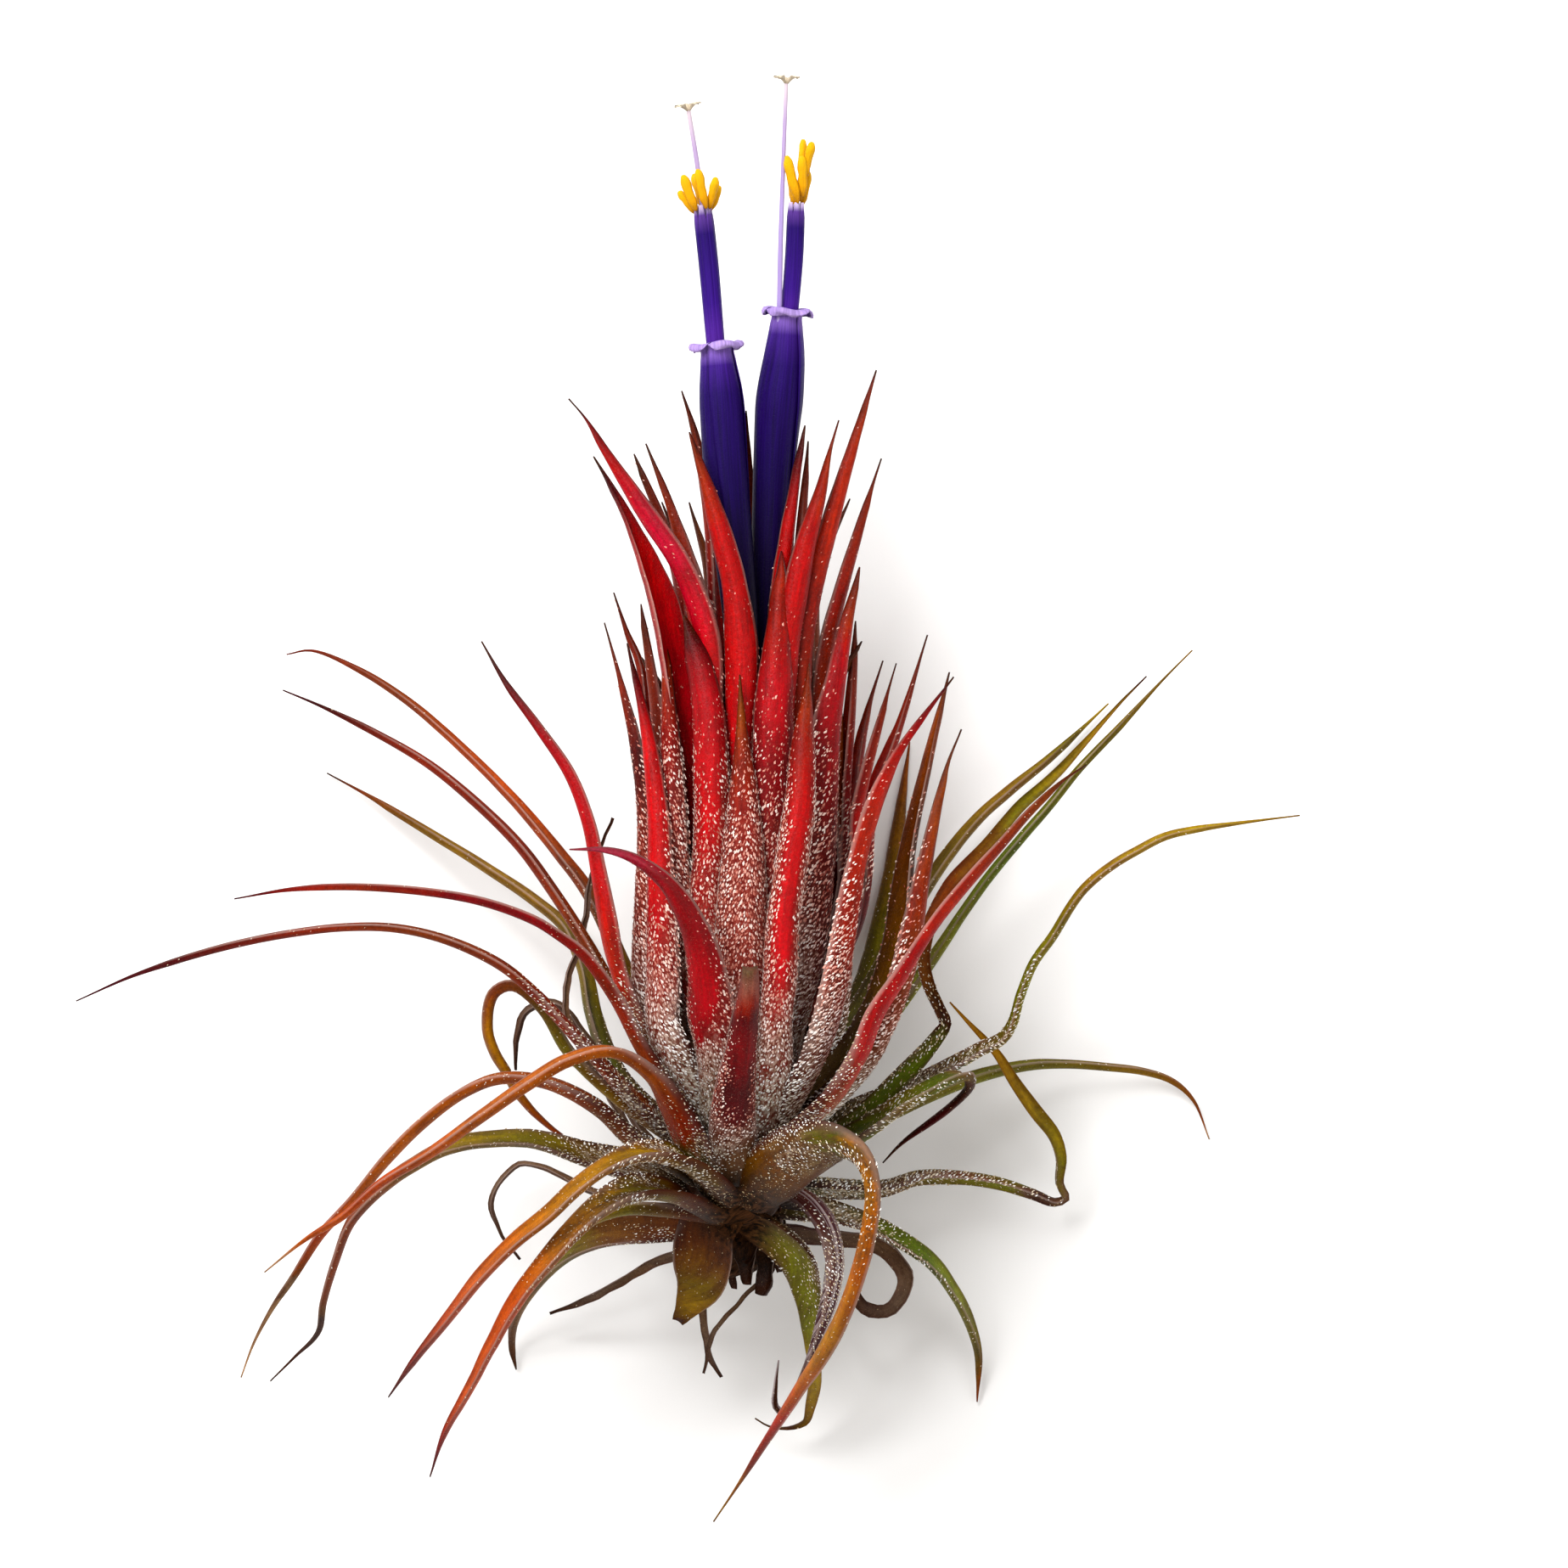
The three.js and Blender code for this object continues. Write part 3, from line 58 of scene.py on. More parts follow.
# Each leaf: its coat of scales, its skin as colours along it in hundredths, its centre line from root to
# tip as (x, y, z, width), and for some the way that its channel faces at the root
# The umber and black first stops at the roots of outer leaves 11 to 15 are the dark brown of old bases with
# painted shade of the crevice at the hub
LEAVES = {
    "rosette_leaf_01": ("stub",
        "taupe 0, clay 20, wine 34, maroon 50, blood 66, wine 78, rose 86, dusty 94, taupe 100",
        [(5, -38.1, 32.4, 3.8), (4.6, -32.9, 38.4, 4.9), (5.4, -25.6, 44.6, 3.25),
        (5.8, -22.4, 47.1, 2.87), (6.3, -19.2, 49.2, 2.17), (6.4, -16.7, 51, 1.6)]),
    "rosette_leaf_02": ("arched",
        "taupe 0, clay 14, blood 30, crimson 48, blood 58, blood 70, mauve 90, mauve 100",
        [(3.2, -34.2, 33, 3.6), (2.85, -26.2, 38.6, 4.4), (2.15, -21.7, 40.2, 5.6), (1.95, -18.8, 41, 5),
        (0.95, -13.9, 42.6, 3.6), (-1.65, -8.9, 43.6, 2.1), (-4.95, -6.1, 43.2, 1.2), (-8.05, -5, 42, 0.9),
        (-11.8, -4.9, 40.4, 0.6)]),
    "rosette_leaf_03": ("striped",
        "taupe 0, rose 16, blood 26, crimson 34, scarlet 55, red 72, rosewood 84, brick 93, umber 100",
        [(6.4, -36.4, 31, 3.4), (8.8, -26, 36.4, 3.9), (8.9, -22.2, 37.4, 3.24), (9.2, -19, 38, 3.57),
        (9.6, -13.4, 38.2, 3.42), (10.1, -8.7, 38.1, 3.27), (11.2, -1.5, 37.6, 3.32),
        (11.7, 5.6, 36.3, 2.6), (12.3, 13.8, 34, 0.6)]),
    "rosette_leaf_04": ("felted", "taupe 0, rose 30, dusk 52, rosewood 70, brick 84, rust 92, umber 100",
        [(5, -34, 30, 3.8), (5.1, -26, 34, 4.4), (5.4, -17.9, 35.4, 5.32), (5.4, -13.1, 35.8, 5.59),
        (5.6, -6.6, 36, 4.71), (5.7, 0.6, 35.8, 2.94), (5.5, 6.1, 35.3, 1.55), (5.3, 12.7, 34.2, 0.6)]),
    "rosette_leaf_05": ("flecked",
        "taupe 0, rose 16, brick 30, vermilion 48, vermilion 66, red 84, maroon 96, umber 100",
        [(8, -35, 29.5, 4.4), (12.7, -26, 34, 5.8), (14.1, -22.2, 34.6, 7.2), (14.9, -19, 34.7, 7.4),
        (15.7, -14.2, 34.4, 5.9), (16.6, -8.5, 33.8, 4.1), (17.3, -5.3, 33.3, 3.25),
        (18.5, -1.3, 32.6, 3.23), (19.7, 1.7, 31.7, 2.53), (21.5, 5.3, 30.6, 0.97),
        (26.9, 12.5, 27, 0.6)]),
    "rosette_leaf_06": ("banded",
        "taupe 0, rose 16, crimson 34, scarlet 50, scarlet 80, maroon 94, umber 100",
        [(2, -33.5, 29.2, 3.6), (-1.7, -25.4, 33.5, 4.3), (-2.7, -22.5, 33.9, 3.99),
        (-2.7, -18.5, 33.8, 4.2), (-2.8, -12.1, 33.2, 3.76), (-3, -3.2, 32, 2.77), (-3.7, 3.9, 30.6, 1.98),
        (-4.6, 9.5, 29, 1.21), (-6.1, 15.9, 27, 0.6)]),
    "rosette_leaf_07": ("sprinkled",
        "taupe 0, rose 20, blood 34, blood 60, crimson 75, rosewood 88, dusk 96, maroon 100",
        [(6.6, -30, 29, 3.2), (7.5, -17.9, 32.4, 3.8), (8.3, -3.8, 33.9, 4.11), (8.7, 5.8, 34.1, 4.48),
        (8.9, 11.4, 33.6, 4), (9.2, 17.8, 32.7, 2.44), (9.4, 21, 32, 2.29), (9.5, 25.2, 31, 0.6)]),
    "rosette_leaf_08": ("laced",
        "taupe 0, rose 20, crimson 34, scarlet 60, crimson 82, maroon 96, umber 100", [(3.5, -30, 28.8, 3),
        (2.8, -17.8, 32, 3.6), (1.9, -11, 32.9, 4.08), (2.3, -4.6, 33.5, 4.09), (2.3, 1.9, 33.6, 3.94),
        (1.9, 9.1, 33, 3.45), (0.8, 14.7, 32, 3.02), (-0.3, 18.7, 31, 0.6)]),
    "rosette_leaf_09": ("sprinkled",
        "taupe 0, dusk 20, wine 34, blood 60, crimson 82, brick 92, umber 100", [(8.6, -30, 27.4, 3),
        (11.9, -18, 30.6, 3.6), (12.7, -13.9, 31.1, 4.63), (13.5, -5.1, 31.2, 4.72), (14.2, 7, 30.7, 3.79),
        (15.2, 12.4, 30, 2.46), (16, 17.2, 29.2, 1.93), (17.4, 23.6, 27.8, 0.6)]),
    "rosette_leaf_10": ("felted", "taupe 0, rose 24, wine 38, blood 62, rosewood 80, brick 92, umber 100",
        [(2.6, -29, 27.6, 2.6), (0.3, -17.9, 30, 3), (-1.4, -5.8, 30.5, 3.59), (-1.7, 3.8, 30.3, 2.77),
        (-2, 9.4, 29.9, 1.71), (-2.1, 13.4, 29.5, 1.4), (-2.5, 16.8, 29, 0.6)]),
    "rosette_leaf_11": ("smooth", "rose 0, crimson 30, scarlet 50, red 66, red 84, brick 94, umber 100",
        [(5.2, -22, 28.6, 2.8), (5.3, 0.1, 31.8, 3.4), (5.3, 4.7, 32.1, 3.31), (5.3, 15.3, 32.2, 3.72),
        (4.6, 21.6, 32.1, 2.69), (3.2, 27.1, 31.8, 2.57), (1.5, 33.2, 31.3, 1.48),
        (0.2, 37.2, 30.8, 0.6)]),
    "rosette_leaf_12": ("smooth", "rose 0, crimson 30, red 55, red 80, brick 93, umber 100",
        [(7.4, -23, 28, 2.6), (9.1, -2, 31.2, 3), (9.9, 14, 31.9, 3.35), (11.7, 24.3, 31.8, 2.5),
        (13.5, 31.2, 31.2, 1.56), (14.4, 35.2, 30.8, 0.76), (15.3, 38.4, 30.4, 0.6)]),
    "rosette_leaf_13": ("smooth", "rose 0, brick 40, rosewood 60, vermilion 80, brick 92, umber 100",
        [(7.8, -22, 26.4, 2.4), (10.3, -4.9, 29.4, 2.6), (11.6, 10.2, 29.9, 2.4), (11.8, 16.3, 29.9, 2.84),
        (12.5, 20.3, 29.8, 2.82), (14.5, 28, 29.4, 2.25), (16.1, 33.4, 29, 1.6), (17.6, 38.7, 28.6, 1.05),
        (19.1, 43.5, 28.2, 0.6)]),
    "rosette_leaf_14": ("smooth",
        "rose 0, crimson 30, scarlet 55, cerise 75, red 88, maroon 96, umber 100", [(4, -22, 28, 2.4),
        (2.4, 0.3, 30.6, 2.7), (1.9, 16.1, 30.6, 3.5), (-0.4, 23.1, 30.4, 2.95), (-3.9, 28.5, 30, 2.67),
        (-7.8, 34.5, 29.4, 1.24), (-10.3, 38.6, 28.9, 0.6), (-12, 40.6, 28.6, 0.6)]),
    "rosette_leaf_15": ("smooth", "rose 0, blood 30, crimson 60, red 82, maroon 94, umber 100",
        [(3.4, -21, 26.4, 2.4), (0.1, -0.1, 28.4, 2.6), (-0.5, 6.5, 28.6, 3.97), (-1.7, 15.4, 28.6, 3.96),
        (-2.7, 20.1, 28.5, 4.05), (-5.6, 27.6, 28, 1.6), (-7.8, 31.9, 27.6, 0.92),
        (-9.5, 34.8, 27.2, 0.6)], (0.75, 0, 0.66)),
    "rosette_leaf_16": ("smooth", "rose 0, blood 30, red 60, red 82, maroon 94, umber 100",
        [(7, -16, 27.6, 2.2), (8.4, 5.2, 29.6, 2.6), (9.3, 20.3, 30.2, 2.03), (10.1, 26.6, 30.2, 1.75),
        (10.8, 31.4, 30, 1.31), (11.3, 34.5, 29.8, 1.21), (11.9, 37.9, 29.6, 0.6)]),
    "rosette_leaf_17": ("smooth", "rose 0, blood 30, brick 55, rosewood 75, brick 90, umber 100",
        [(8.4, -20, 25.2, 2.4), (11.9, -8.1, 27.4, 3), (13.1, 7.8, 27.4, 2.8), (14, 15.2, 27.3, 2.59),
        (14.7, 18.3, 27.2, 2.38), (16.9, 26, 26.6, 1.57), (18.5, 31.3, 26, 0.72),
        (19.6, 34.6, 25.6, 0.6)]),
    "rosette_leaf_18": ("dusky", "taupe 0, rose 25, brick 50, maroon 72, brick 86, umber 100",
        [(0.4, -31, 26.4, 3.2), (-4.3, -22.2, 28, 3.8), (-4.5, -17.2, 28, 4.54), (-4.4, -14, 27.8, 4.41),
        (-4.2, -9.9, 27.6, 4.01), (-4.2, -1.8, 26.8, 2.83), (-5.3, 6.1, 26.2, 1.72),
        (-6.6, 11.6, 25.6, 0.72), (-8.4, 18, 24.8, 0.6)]),
    "rosette_leaf_19": ("flecked", "taupe 0, khaki 22, bronze 40, brown 66, rust 88, umber 100",
        [(10, -32, 26.4, 3), (17.5, -24.2, 28.2, 3.8), (21, -15.5, 27.8, 3.75), (21.7, -9.9, 27.4, 2.97),
        (22.3, -5.1, 27, 2.04), (24.2, 3.5, 25.8, 1.35), (26.5, 13, 24, 0.6)]),
    "rosette_leaf_20": ("flecked", "taupe 0, bronze 20, rust 42, brick 62, rust 84, umber 100",
        [(10.6, -34, 28, 3), (18.2, -26, 31, 3.4), (21.3, -19.1, 31, 3.2), (22.7, -14, 30.4, 3.29),
        (23.2, -10.8, 29.9, 2.64), (24.3, -5.3, 29, 1.69), (26.2, 3.3, 26.8, 0.65),
        (27.7, 7.2, 25.8, 0.6)]),
    "rosette_leaf_21": ("dusky", "taupe 0, rose 30, brick 55, brick 80, umber 100", [(1.4, -27, 24.6, 2.6),
        (-3.3, -10, 25, 3), (-3.6, 4, 24.8, 2.6), (-2.8, 7, 24.7, 3.6), (-3.6, 13.4, 24.4, 1.85),
        (-4.7, 19.9, 24, 0.6)]),
    "outer_leaf_01": ("satin", "taupe 0, olive 20, rust 40, coral 60, rust 80, brick 100",
        [(2, -33, 18, 2.8), (-6, -18, 17.4, 2.4), (-10, -9.5, 17, 2.1), (-13.1, -5.3, 16.4, 1.7),
        (-17.3, -0.3, 15.4, 1.4), (-23, 5.4, 13.6, 1.1), (-28.4, 10.1, 11.6, 0.9), (-33.8, 13.5, 9.4, 0.8),
        (-38.4, 15.3, 7.4, 0.7), (-40.9, 14.9, 6.4, 0.6)]),
    "outer_leaf_02": ("satin", "silver 0, khaki 14, rust 32, brick 52, brick 78, maroon 92, plum 100",
        [(0, -33, 23.4, 2.8), (-6.5, -21, 24.4, 2.6), (-10.8, -13.4, 25, 2.1), (-13.8, -8.8, 25.2, 1.9),
        (-16.9, -4.6, 25.2, 1.7), (-21.2, -0.3, 24.8, 1.5), (-26.1, 3.7, 24, 1.2), (-31.9, 7.1, 23, 0.85),
        (-36.9, 9.5, 22, 0.7), (-41, 11.2, 21.2, 0.6)]),
    "outer_leaf_03": ("satin", "silver 0, moss 20, olive 34, ochre 52, ochre 78, rust 92, umber 100",
        [(0, -35, 17.6, 3), (-7, -28, 15.8, 2.8), (-9.6, -22, 13.4, 2.4), (-10.6, -17, 11.4, 2.1),
        (-12.4, -13, 9.8, 1.9), (-15.4, -10.3, 8.4, 1.7), (-20.4, -6.9, 6.2, 1.5), (-26.1, -3.4, 3.8, 1.1),
        (-31.9, 0.1, 1.8, 0.8), (-36.9, 2.8, 0.4, 0.7)]),
    "outer_leaf_04": ("glinting",
        "silver 0, clay 16, vermilion 30, scarlet 50, crimson 74, maroon 92, umber 100",
        [(0.6, -32, 28.4, 2.8), (-4.8, -22.6, 31.4, 2.8), (-7, -17, 32, 2.5), (-8, -12.5, 32, 3.27),
        (-9, -7, 31.8, 2.44), (-10, -2.2, 31.4, 1.9), (-11.9, 2.8, 30.8, 1.5), (-15, 7.4, 30, 1.1),
        (-18.4, 12, 28.8, 0.8), (-20.8, 16.1, 27.8, 0.6)]),
    "outer_leaf_05": ("glinting",
        "silver 0, rust 16, brick 28, blood 48, blood 62, brick 78, rosewood 90, plum 100",
        [(2.4, -35, 30, 3.2), (-2.9, -27.4, 34.4, 2.8), (-4.7, -24.5, 35.6, 2.41), (-7, -20, 37, 2.5),
        (-10.5, -15.3, 38.6, 1.97), (-13.1, -13.3, 39.1, 1.53), (-15.4, -11.9, 39.4, 1.5),
        (-20.4, -10.1, 39.4, 1.3), (-26.1, -9.1, 38.4, 1.1), (-33.8, -8.6, 36, 0.8),
        (-39.9, -8.9, 33.6, 0.7), (-45.7, -9.9, 31, 0.6)]),
    "outer_leaf_06": ("glinting", "taupe 0, rust 14, brick 26, rust 48, brick 66, wine 84, plum 100",
        [(1.6, -36, 27, 3), (-5, -30.4, 30, 2.7), (-10.4, -24.6, 32.2, 2.2), (-15.4, -19.3, 33.6, 1.7),
        (-18.8, -16.5, 34, 1.6), (-24.2, -14, 33.8, 1.3), (-29.4, -12.8, 33, 1.2),
        (-34.7, -12.7, 31.6, 1.1), (-41.7, -13.6, 29, 1), (-48.7, -15.2, 26, 0.85),
        (-55.7, -17.5, 22.6, 0.7), (-62, -20.3, 19, 0.6)]),
    "outer_leaf_07": ("satin",
        "silver 0, ochre 18, olive 34, bronze 44, rust 54, amber 70, rust 86, brick 100",
        [(0, -35, 23.6, 2.6), (-7, -30, 26.6, 2.3), (-11.9, -25.4, 28.2, 2), (-14.6, -21, 28.6, 1.7),
        (-17.6, -18.7, 28, 1.4), (-19.6, -19.6, 26.8, 1.2), (-20.2, -22.4, 25.2, 1.2),
        (-19.6, -25.3, 24, 1.2), (-18.5, -27.3, 23, 1.1), (-16.8, -30.2, 21.6, 1), (-13.6, -33.4, 20, 0.9),
        (-9.7, -35.8, 18.6, 0.7)]),
    "outer_leaf_08": ("bright",
        "silver 0, moss 7, brick 14, rust 24, orange 36, orange 58, coral 76, blush 90, faded 100",
        [(2.6, -39.3, 30.4, 4), (0.2, -34.6, 34.4, 5.2), (-1.4, -31, 37.4, 4), (-3.4, -27.6, 40.4, 2.9),
        (-7.5, -25.1, 43.2, 2.3), (-11.9, -26, 44.6, 2.3), (-15.4, -28, 44.6, 2.3),
        (-20.6, -31.6, 43, 2.1), (-25.9, -35.4, 40.4, 1.6), (-31.1, -38.6, 37.4, 1.1),
        (-34.7, -41.8, 35, 0.9), (-38.5, -44.2, 32.6, 0.75), (-42.7, -47.6, 30, 0.6)]),
    "outer_leaf_09": ("bright",
        "silver 0, bronze 12, rust 24, orange 44, orange 58, coral 70, rust 78, drab 84, faded 100",
        [(1, -38, 27.6, 3.8), (-5.4, -34, 32, 3.6), (-8.9, -30.9, 34.4, 3), (-13.9, -28.4, 36, 2.3),
        (-18.8, -27.9, 36, 2.1), (-22.4, -29.2, 34.8, 2.1), (-26.6, -32.3, 32.6, 2),
        (-30.1, -35.8, 30, 1.9), (-33.6, -40, 26.8, 1.5), (-37.2, -43.9, 23.2, 1.2),
        (-39.9, -48.1, 19.6, 0.8), (-42.1, -51.3, 17.4, 0.7), (-44.1, -55.1, 15.4, 0.65),
        (-45.4, -58.6, 14, 0.6)]),
    "outer_leaf_10": ("glinting",
        "silver 0, khaki 12, olive 28, ochre 44, rust 58, rust 74, bronze 82, umber 86, umber 100",
        [(1, -39, 24, 3.6), (-4.6, -37.4, 25.4, 3.8), (-9.7, -36.1, 26.2, 3.2), (-15.4, -34.4, 26.2, 2.3),
        (-20.6, -34.4, 25.4, 2.1), (-24.2, -35.1, 24.4, 2), (-27.6, -36.8, 22.6, 1.9),
        (-31.1, -39.3, 20, 1.7), (-34.3, -42.8, 16.6, 1.4), (-36, -47, 12.6, 1.1),
        (-37.2, -50.9, 8.6, 0.9), (-37.9, -54.4, 4.6, 0.8), (-40.2, -56.8, 2, 0.75),
        (-42.7, -59.3, 0.4, 0.7)]),
    "outer_leaf_11": ("boat",
        "umber 0, brown 7, olive 14, ochre 24, amber 40, orange 54, coral 72, brick 86, plum 100",
        [(3.3, -39.8, 31.4, 4), (1.6, -37.6, 35.4, 5.4), (-0.9, -35.8, 38.8, 4.4),
        (-4.5, -35.3, 41.4, 3.2), (-7.7, -36.5, 42.6, 2.4), (-11.2, -39, 42.8, 2.3),
        (-13.9, -41.6, 42, 2.2), (-17.5, -44.5, 40, 2.1), (-21, -48.1, 37, 1.9), (-24.5, -52.6, 32.6, 1.4),
        (-27.6, -56.5, 28, 0.9), (-30.3, -60.4, 23, 0.6)]),
    "outer_leaf_12": ("boat",
        "umber 0, brown 10, olive 20, amber 34, coral 54, coral 76, rosewood 90, plum 100",
        [(2.6, -41.6, 30, 3.6), (-1.6, -39.4, 34.2, 5), (-5.4, -39.2, 37.2, 4.4), (-9.4, -41.4, 39, 3.2),
        (-14, -46.2, 39.4, 2.4), (-17.1, -50.2, 37.8, 2.2), (-19.6, -54.6, 35, 1.7),
        (-22, -59.3, 31.2, 1.2), (-24.6, -64, 26.6, 0.8), (-26.1, -68.5, 22, 0.6)]),
    "outer_leaf_13": ("satin", "umber 0, brown 14, bronze 34, olive 50, ochre 66, bronze 84, umber 100",
        [(3.6, -42.6, 21.6, 3.2), (-2.4, -43.2, 19.8, 3.8), (-8.7, -44.2, 16.4, 3.1),
        (-12.9, -46.4, 13, 2.4), (-16.1, -49.8, 9, 2.1), (-17.8, -53, 5, 1.5), (-18.1, -55.8, 1.8, 1.2),
        (-17.6, -58.1, 0.35, 0.7)]),
    "outer_leaf_14": ("satin", "umber 0, brown 20, olive 45, ochre 75, rust 100", [(3.4, -42, 26.4, 2.8),
        (-2.8, -41.2, 29, 2.8), (-6.6, -41.2, 29.8, 2.4), (-10.4, -42.6, 29.4, 2), (-13.4, -45, 27.6, 1.4),
        (-14.8, -47.4, 25.4, 0.8)]),
    "outer_leaf_15": ("cut", "black 0, umber 14, brown 32, clay 50, khaki 68, ochre 84, umber 100",
        [(4, -40.5, 25.4, 4), (2.2, -43, 25.4, 5.6), (1.7, -46.2, 24, 6.6), (1.4, -48.8, 22.2, 5),
        (0.2, -51, 20.4, 2.6), (-0.9, -52.8, 19, 1.2)], (0, 0.3, 1)),
    "outer_leaf_16": ("boat",
        "brown 0, bronze 6, clay 12, silver 18, moss 23, amber 29, orange 42, amber 56, orange 66, "
        "vermilion 76, brick 86, ochre 100",
        [(5.8, -40.1, 30.4, 4.4), (8.7, -37.5, 36, 6), (12.2, -35.2, 41, 5.7), (15.2, -34.4, 44.2, 4.4),
        (17.6, -35.8, 45.8, 3.3), (18.6, -38.6, 46, 2.4), (18.3, -42.8, 44.6, 2.3), (16.9, -48.3, 41, 2.2),
        (15.3, -52.5, 37, 2.1), (13.3, -56.3, 32.4, 1.9), (11.2, -59.6, 27.6, 1.4),
        (9.5, -62.4, 23.4, 1.1), (8.2, -64.5, 20, 0.8), (5.4, -69.1, 13.4, 0.65), (2.6, -73.4, 8.4, 0.6)]),
    "outer_leaf_17": ("speckled", "silver 0, lime 22, lime 44, straw 62, ochre 80, umber 90, drab 100",
        [(5.2, -41.8, 26, 2.6), (8.7, -43.9, 25.8, 3.8), (11.2, -46.4, 24, 3.9), (12.2, -49.7, 20.8, 3),
        (12.4, -53.8, 16.4, 1.5), (13, -58.5, 11, 1.4), (12.5, -61.7, 7, 1.1), (11.8, -63.4, 5, 0.8),
        (10.1, -64, 4.2, 0.65), (8.2, -63.8, 3.8, 0.6), (6.8, -63, 3.6, 0.6)]),
    "outer_leaf_18": ("grooved", "clay 0, plum 16, plum 45, maroon 62, umber 80, umber 100",
        [(8.6, -40, 25.4, 2.8), (11.8, -40.4, 28.2, 4), (13.8, -42.4, 29.6, 4.6), (14.7, -45.8, 28.6, 4.5),
        (14.4, -49.7, 26, 3.7), (13.3, -53.8, 22.4, 2.2), (12.4, -56.6, 19.8, 1.2), (11, -60, 16.4, 1),
        (9.7, -62.2, 14.6, 0.85), (8.9, -61.6, 14.8, 0.8), (8.9, -59.3, 16, 0.75), (9.2, -56.8, 17, 0.6)]),
    "outer_leaf_19": ("speckled", "silver 0, green 18, green 45, lime 62, olive 82, rust 100",
        [(8.6, -41, 18.4, 2.8), (14, -41.8, 17.4, 2.7), (19.1, -43.3, 15.6, 2.3), (22.1, -45, 14, 2.2),
        (24.9, -47.1, 11.8, 2), (27, -49.9, 9, 1.8), (28.7, -53.1, 5.6, 1.5), (29.7, -56.8, 2.4, 1.2),
        (29.5, -61.4, 0.35, 0.7)]),
    "outer_leaf_20": ("speckled",
        "moss 0, green 16, lime 34, lime 44, drab 48, umber 52, drab 57, olive 64, ochre 82, amber 100",
        [(9.6, -39, 17, 3), (15, -39.4, 14.2, 3), (20.2, -39.4, 12, 2.9), (23.5, -38.4, 10.6, 2.5),
        (27.6, -38.4, 9, 2.1), (31.7, -39, 7.4, 1.8), (35.3, -40.2, 6, 1.4), (37.4, -41, 5, 1),
        (38.4, -40.6, 5, 0.8), (37.8, -39, 6.4, 0.75), (37.9, -36.3, 8.4, 1.2), (37.2, -34.1, 9.6, 1.4),
        (35.3, -31.6, 10.8, 1.5), (33.2, -28.6, 11.6, 1.3), (31.3, -25.7, 12.2, 1.2),
        (28.2, -22.3, 12.2, 0.9), (26.6, -20.5, 12, 0.7)]),
    "outer_leaf_21": ("speckled",
        "moss 0, green 14, green 27, umber 32, bronze 37, rust 55, olive 72, ochre 90, umber 100",
        [(11.4, -36.6, 20, 2.8), (16, -33.8, 21.2, 2.6), (19, -31.2, 21.6, 2.3), (21.1, -28.9, 21.6, 2.2),
        (23, -26.7, 21.2, 2), (25, -24.4, 20.6, 1.7), (26.1, -22.7, 19.8, 1.3), (25.5, -21.2, 19, 1.2),
        (24.5, -18.9, 18, 1.3), (23.9, -16.1, 17.2, 1.4), (24.5, -12.6, 16.6, 1.5),
        (26.7, -8.5, 16.6, 1.5), (29.8, -5.1, 17, 1.4), (33.5, -0.8, 17.8, 1.2), (36.9, 2.3, 18.6, 1.1),
        (40.9, 6.6, 19.4, 0.8), (44, 10.1, 20, 0.7), (46.5, 12.6, 20.4, 0.6)]),
    "outer_leaf_22": ("speckled",
        "silver 0, moss 12, green 26, lime 36, lime 48, ochre 66, straw 84, ochre 100",
        [(11.6, -34, 18, 2.8), (17, -31.4, 18.6, 2.4), (20.6, -29.8, 18.6, 2.1), (24.3, -28.1, 18.2, 1.9),
        (27.4, -26.5, 17.6, 2), (29.8, -25.2, 17, 1.9), (31.8, -24.2, 16.6, 1.6), (32.8, -22.8, 17.4, 1.3),
        (33.7, -19.7, 19, 1.2), (35, -16.5, 20.4, 1.2), (36.9, -13.8, 21.6, 1.2), (39.7, -9.4, 23.4, 1.1),
        (42.6, -6.8, 24.4, 1), (45.4, -5.1, 24.8, 0.95), (48.3, -3.6, 24.8, 0.85),
        (51.2, -2.9, 24.4, 0.75), (55.5, -2.3, 23.4, 0.65), (62, -1.5, 21.6, 0.6)]),
    "outer_leaf_23": ("satin", "moss 0, olive 24, lime 42, olive 62, ochre 80, rust 92, faded 100",
        [(11, -36.6, 14.6, 3), (20, -32, 11.6, 2.8), (28.7, -28.3, 8.8, 2.3), (34.7, -26.9, 6.8, 1.7),
        (38.7, -26.8, 5.4, 1.2), (42.7, -27.1, 4, 1.1), (46.6, -27.6, 2.6, 0.95), (49.5, -28.6, 1.6, 0.8),
        (51.6, -30.6, 0.9, 0.7), (53.2, -34.6, 0.35, 0.65)]),
    "outer_leaf_24": ("speckled",
        "silver 0, green 18, lime 36, green 48, khaki 56, umber 62, maroon 80, umber 100",
        [(11.4, -37, 22.2, 3), (16.3, -34.3, 23.8, 3.4), (19, -32.6, 24.8, 3.1), (21.6, -30.7, 25.2, 2.9),
        (24.3, -29.2, 24.8, 2.6), (26.6, -28, 23.8, 2.3), (28.2, -27.8, 22.4, 1.6),
        (28.5, -29, 20.8, 0.95), (26.8, -31, 18.8, 0.85), (24.3, -32.9, 17, 0.8), (21.6, -34.9, 15.6, 0.7),
        (19.8, -36.8, 15, 0.6)]),
    "outer_leaf_25": ("satin", "moss 0, olive 40, ochre 75, olive 90, straw 100", [(11, -32, 13, 2.8),
        (18.6, -19, 9.6, 2.5), (24.6, -8.2, 6.6, 2.1), (29.2, -2.2, 4.8, 1.6), (32.6, 0.9, 3.6, 1.4),
        (36.9, 4.4, 2, 1.1), (39.7, 6.9, 1, 0.8), (42.9, 9.9, 0.35, 0.65)]),
    "outer_leaf_26": ("glinting",
        "silver 0, bronze 10, rust 20, red 32, red 50, vermilion 62, brick 76, rust 88, umber 100",
        [(7.4, -37, 30, 4.6), (10.4, -33.4, 33, 6.2), (14.5, -29.7, 34.6, 5.8), (17.3, -25.2, 35.4, 4.8),
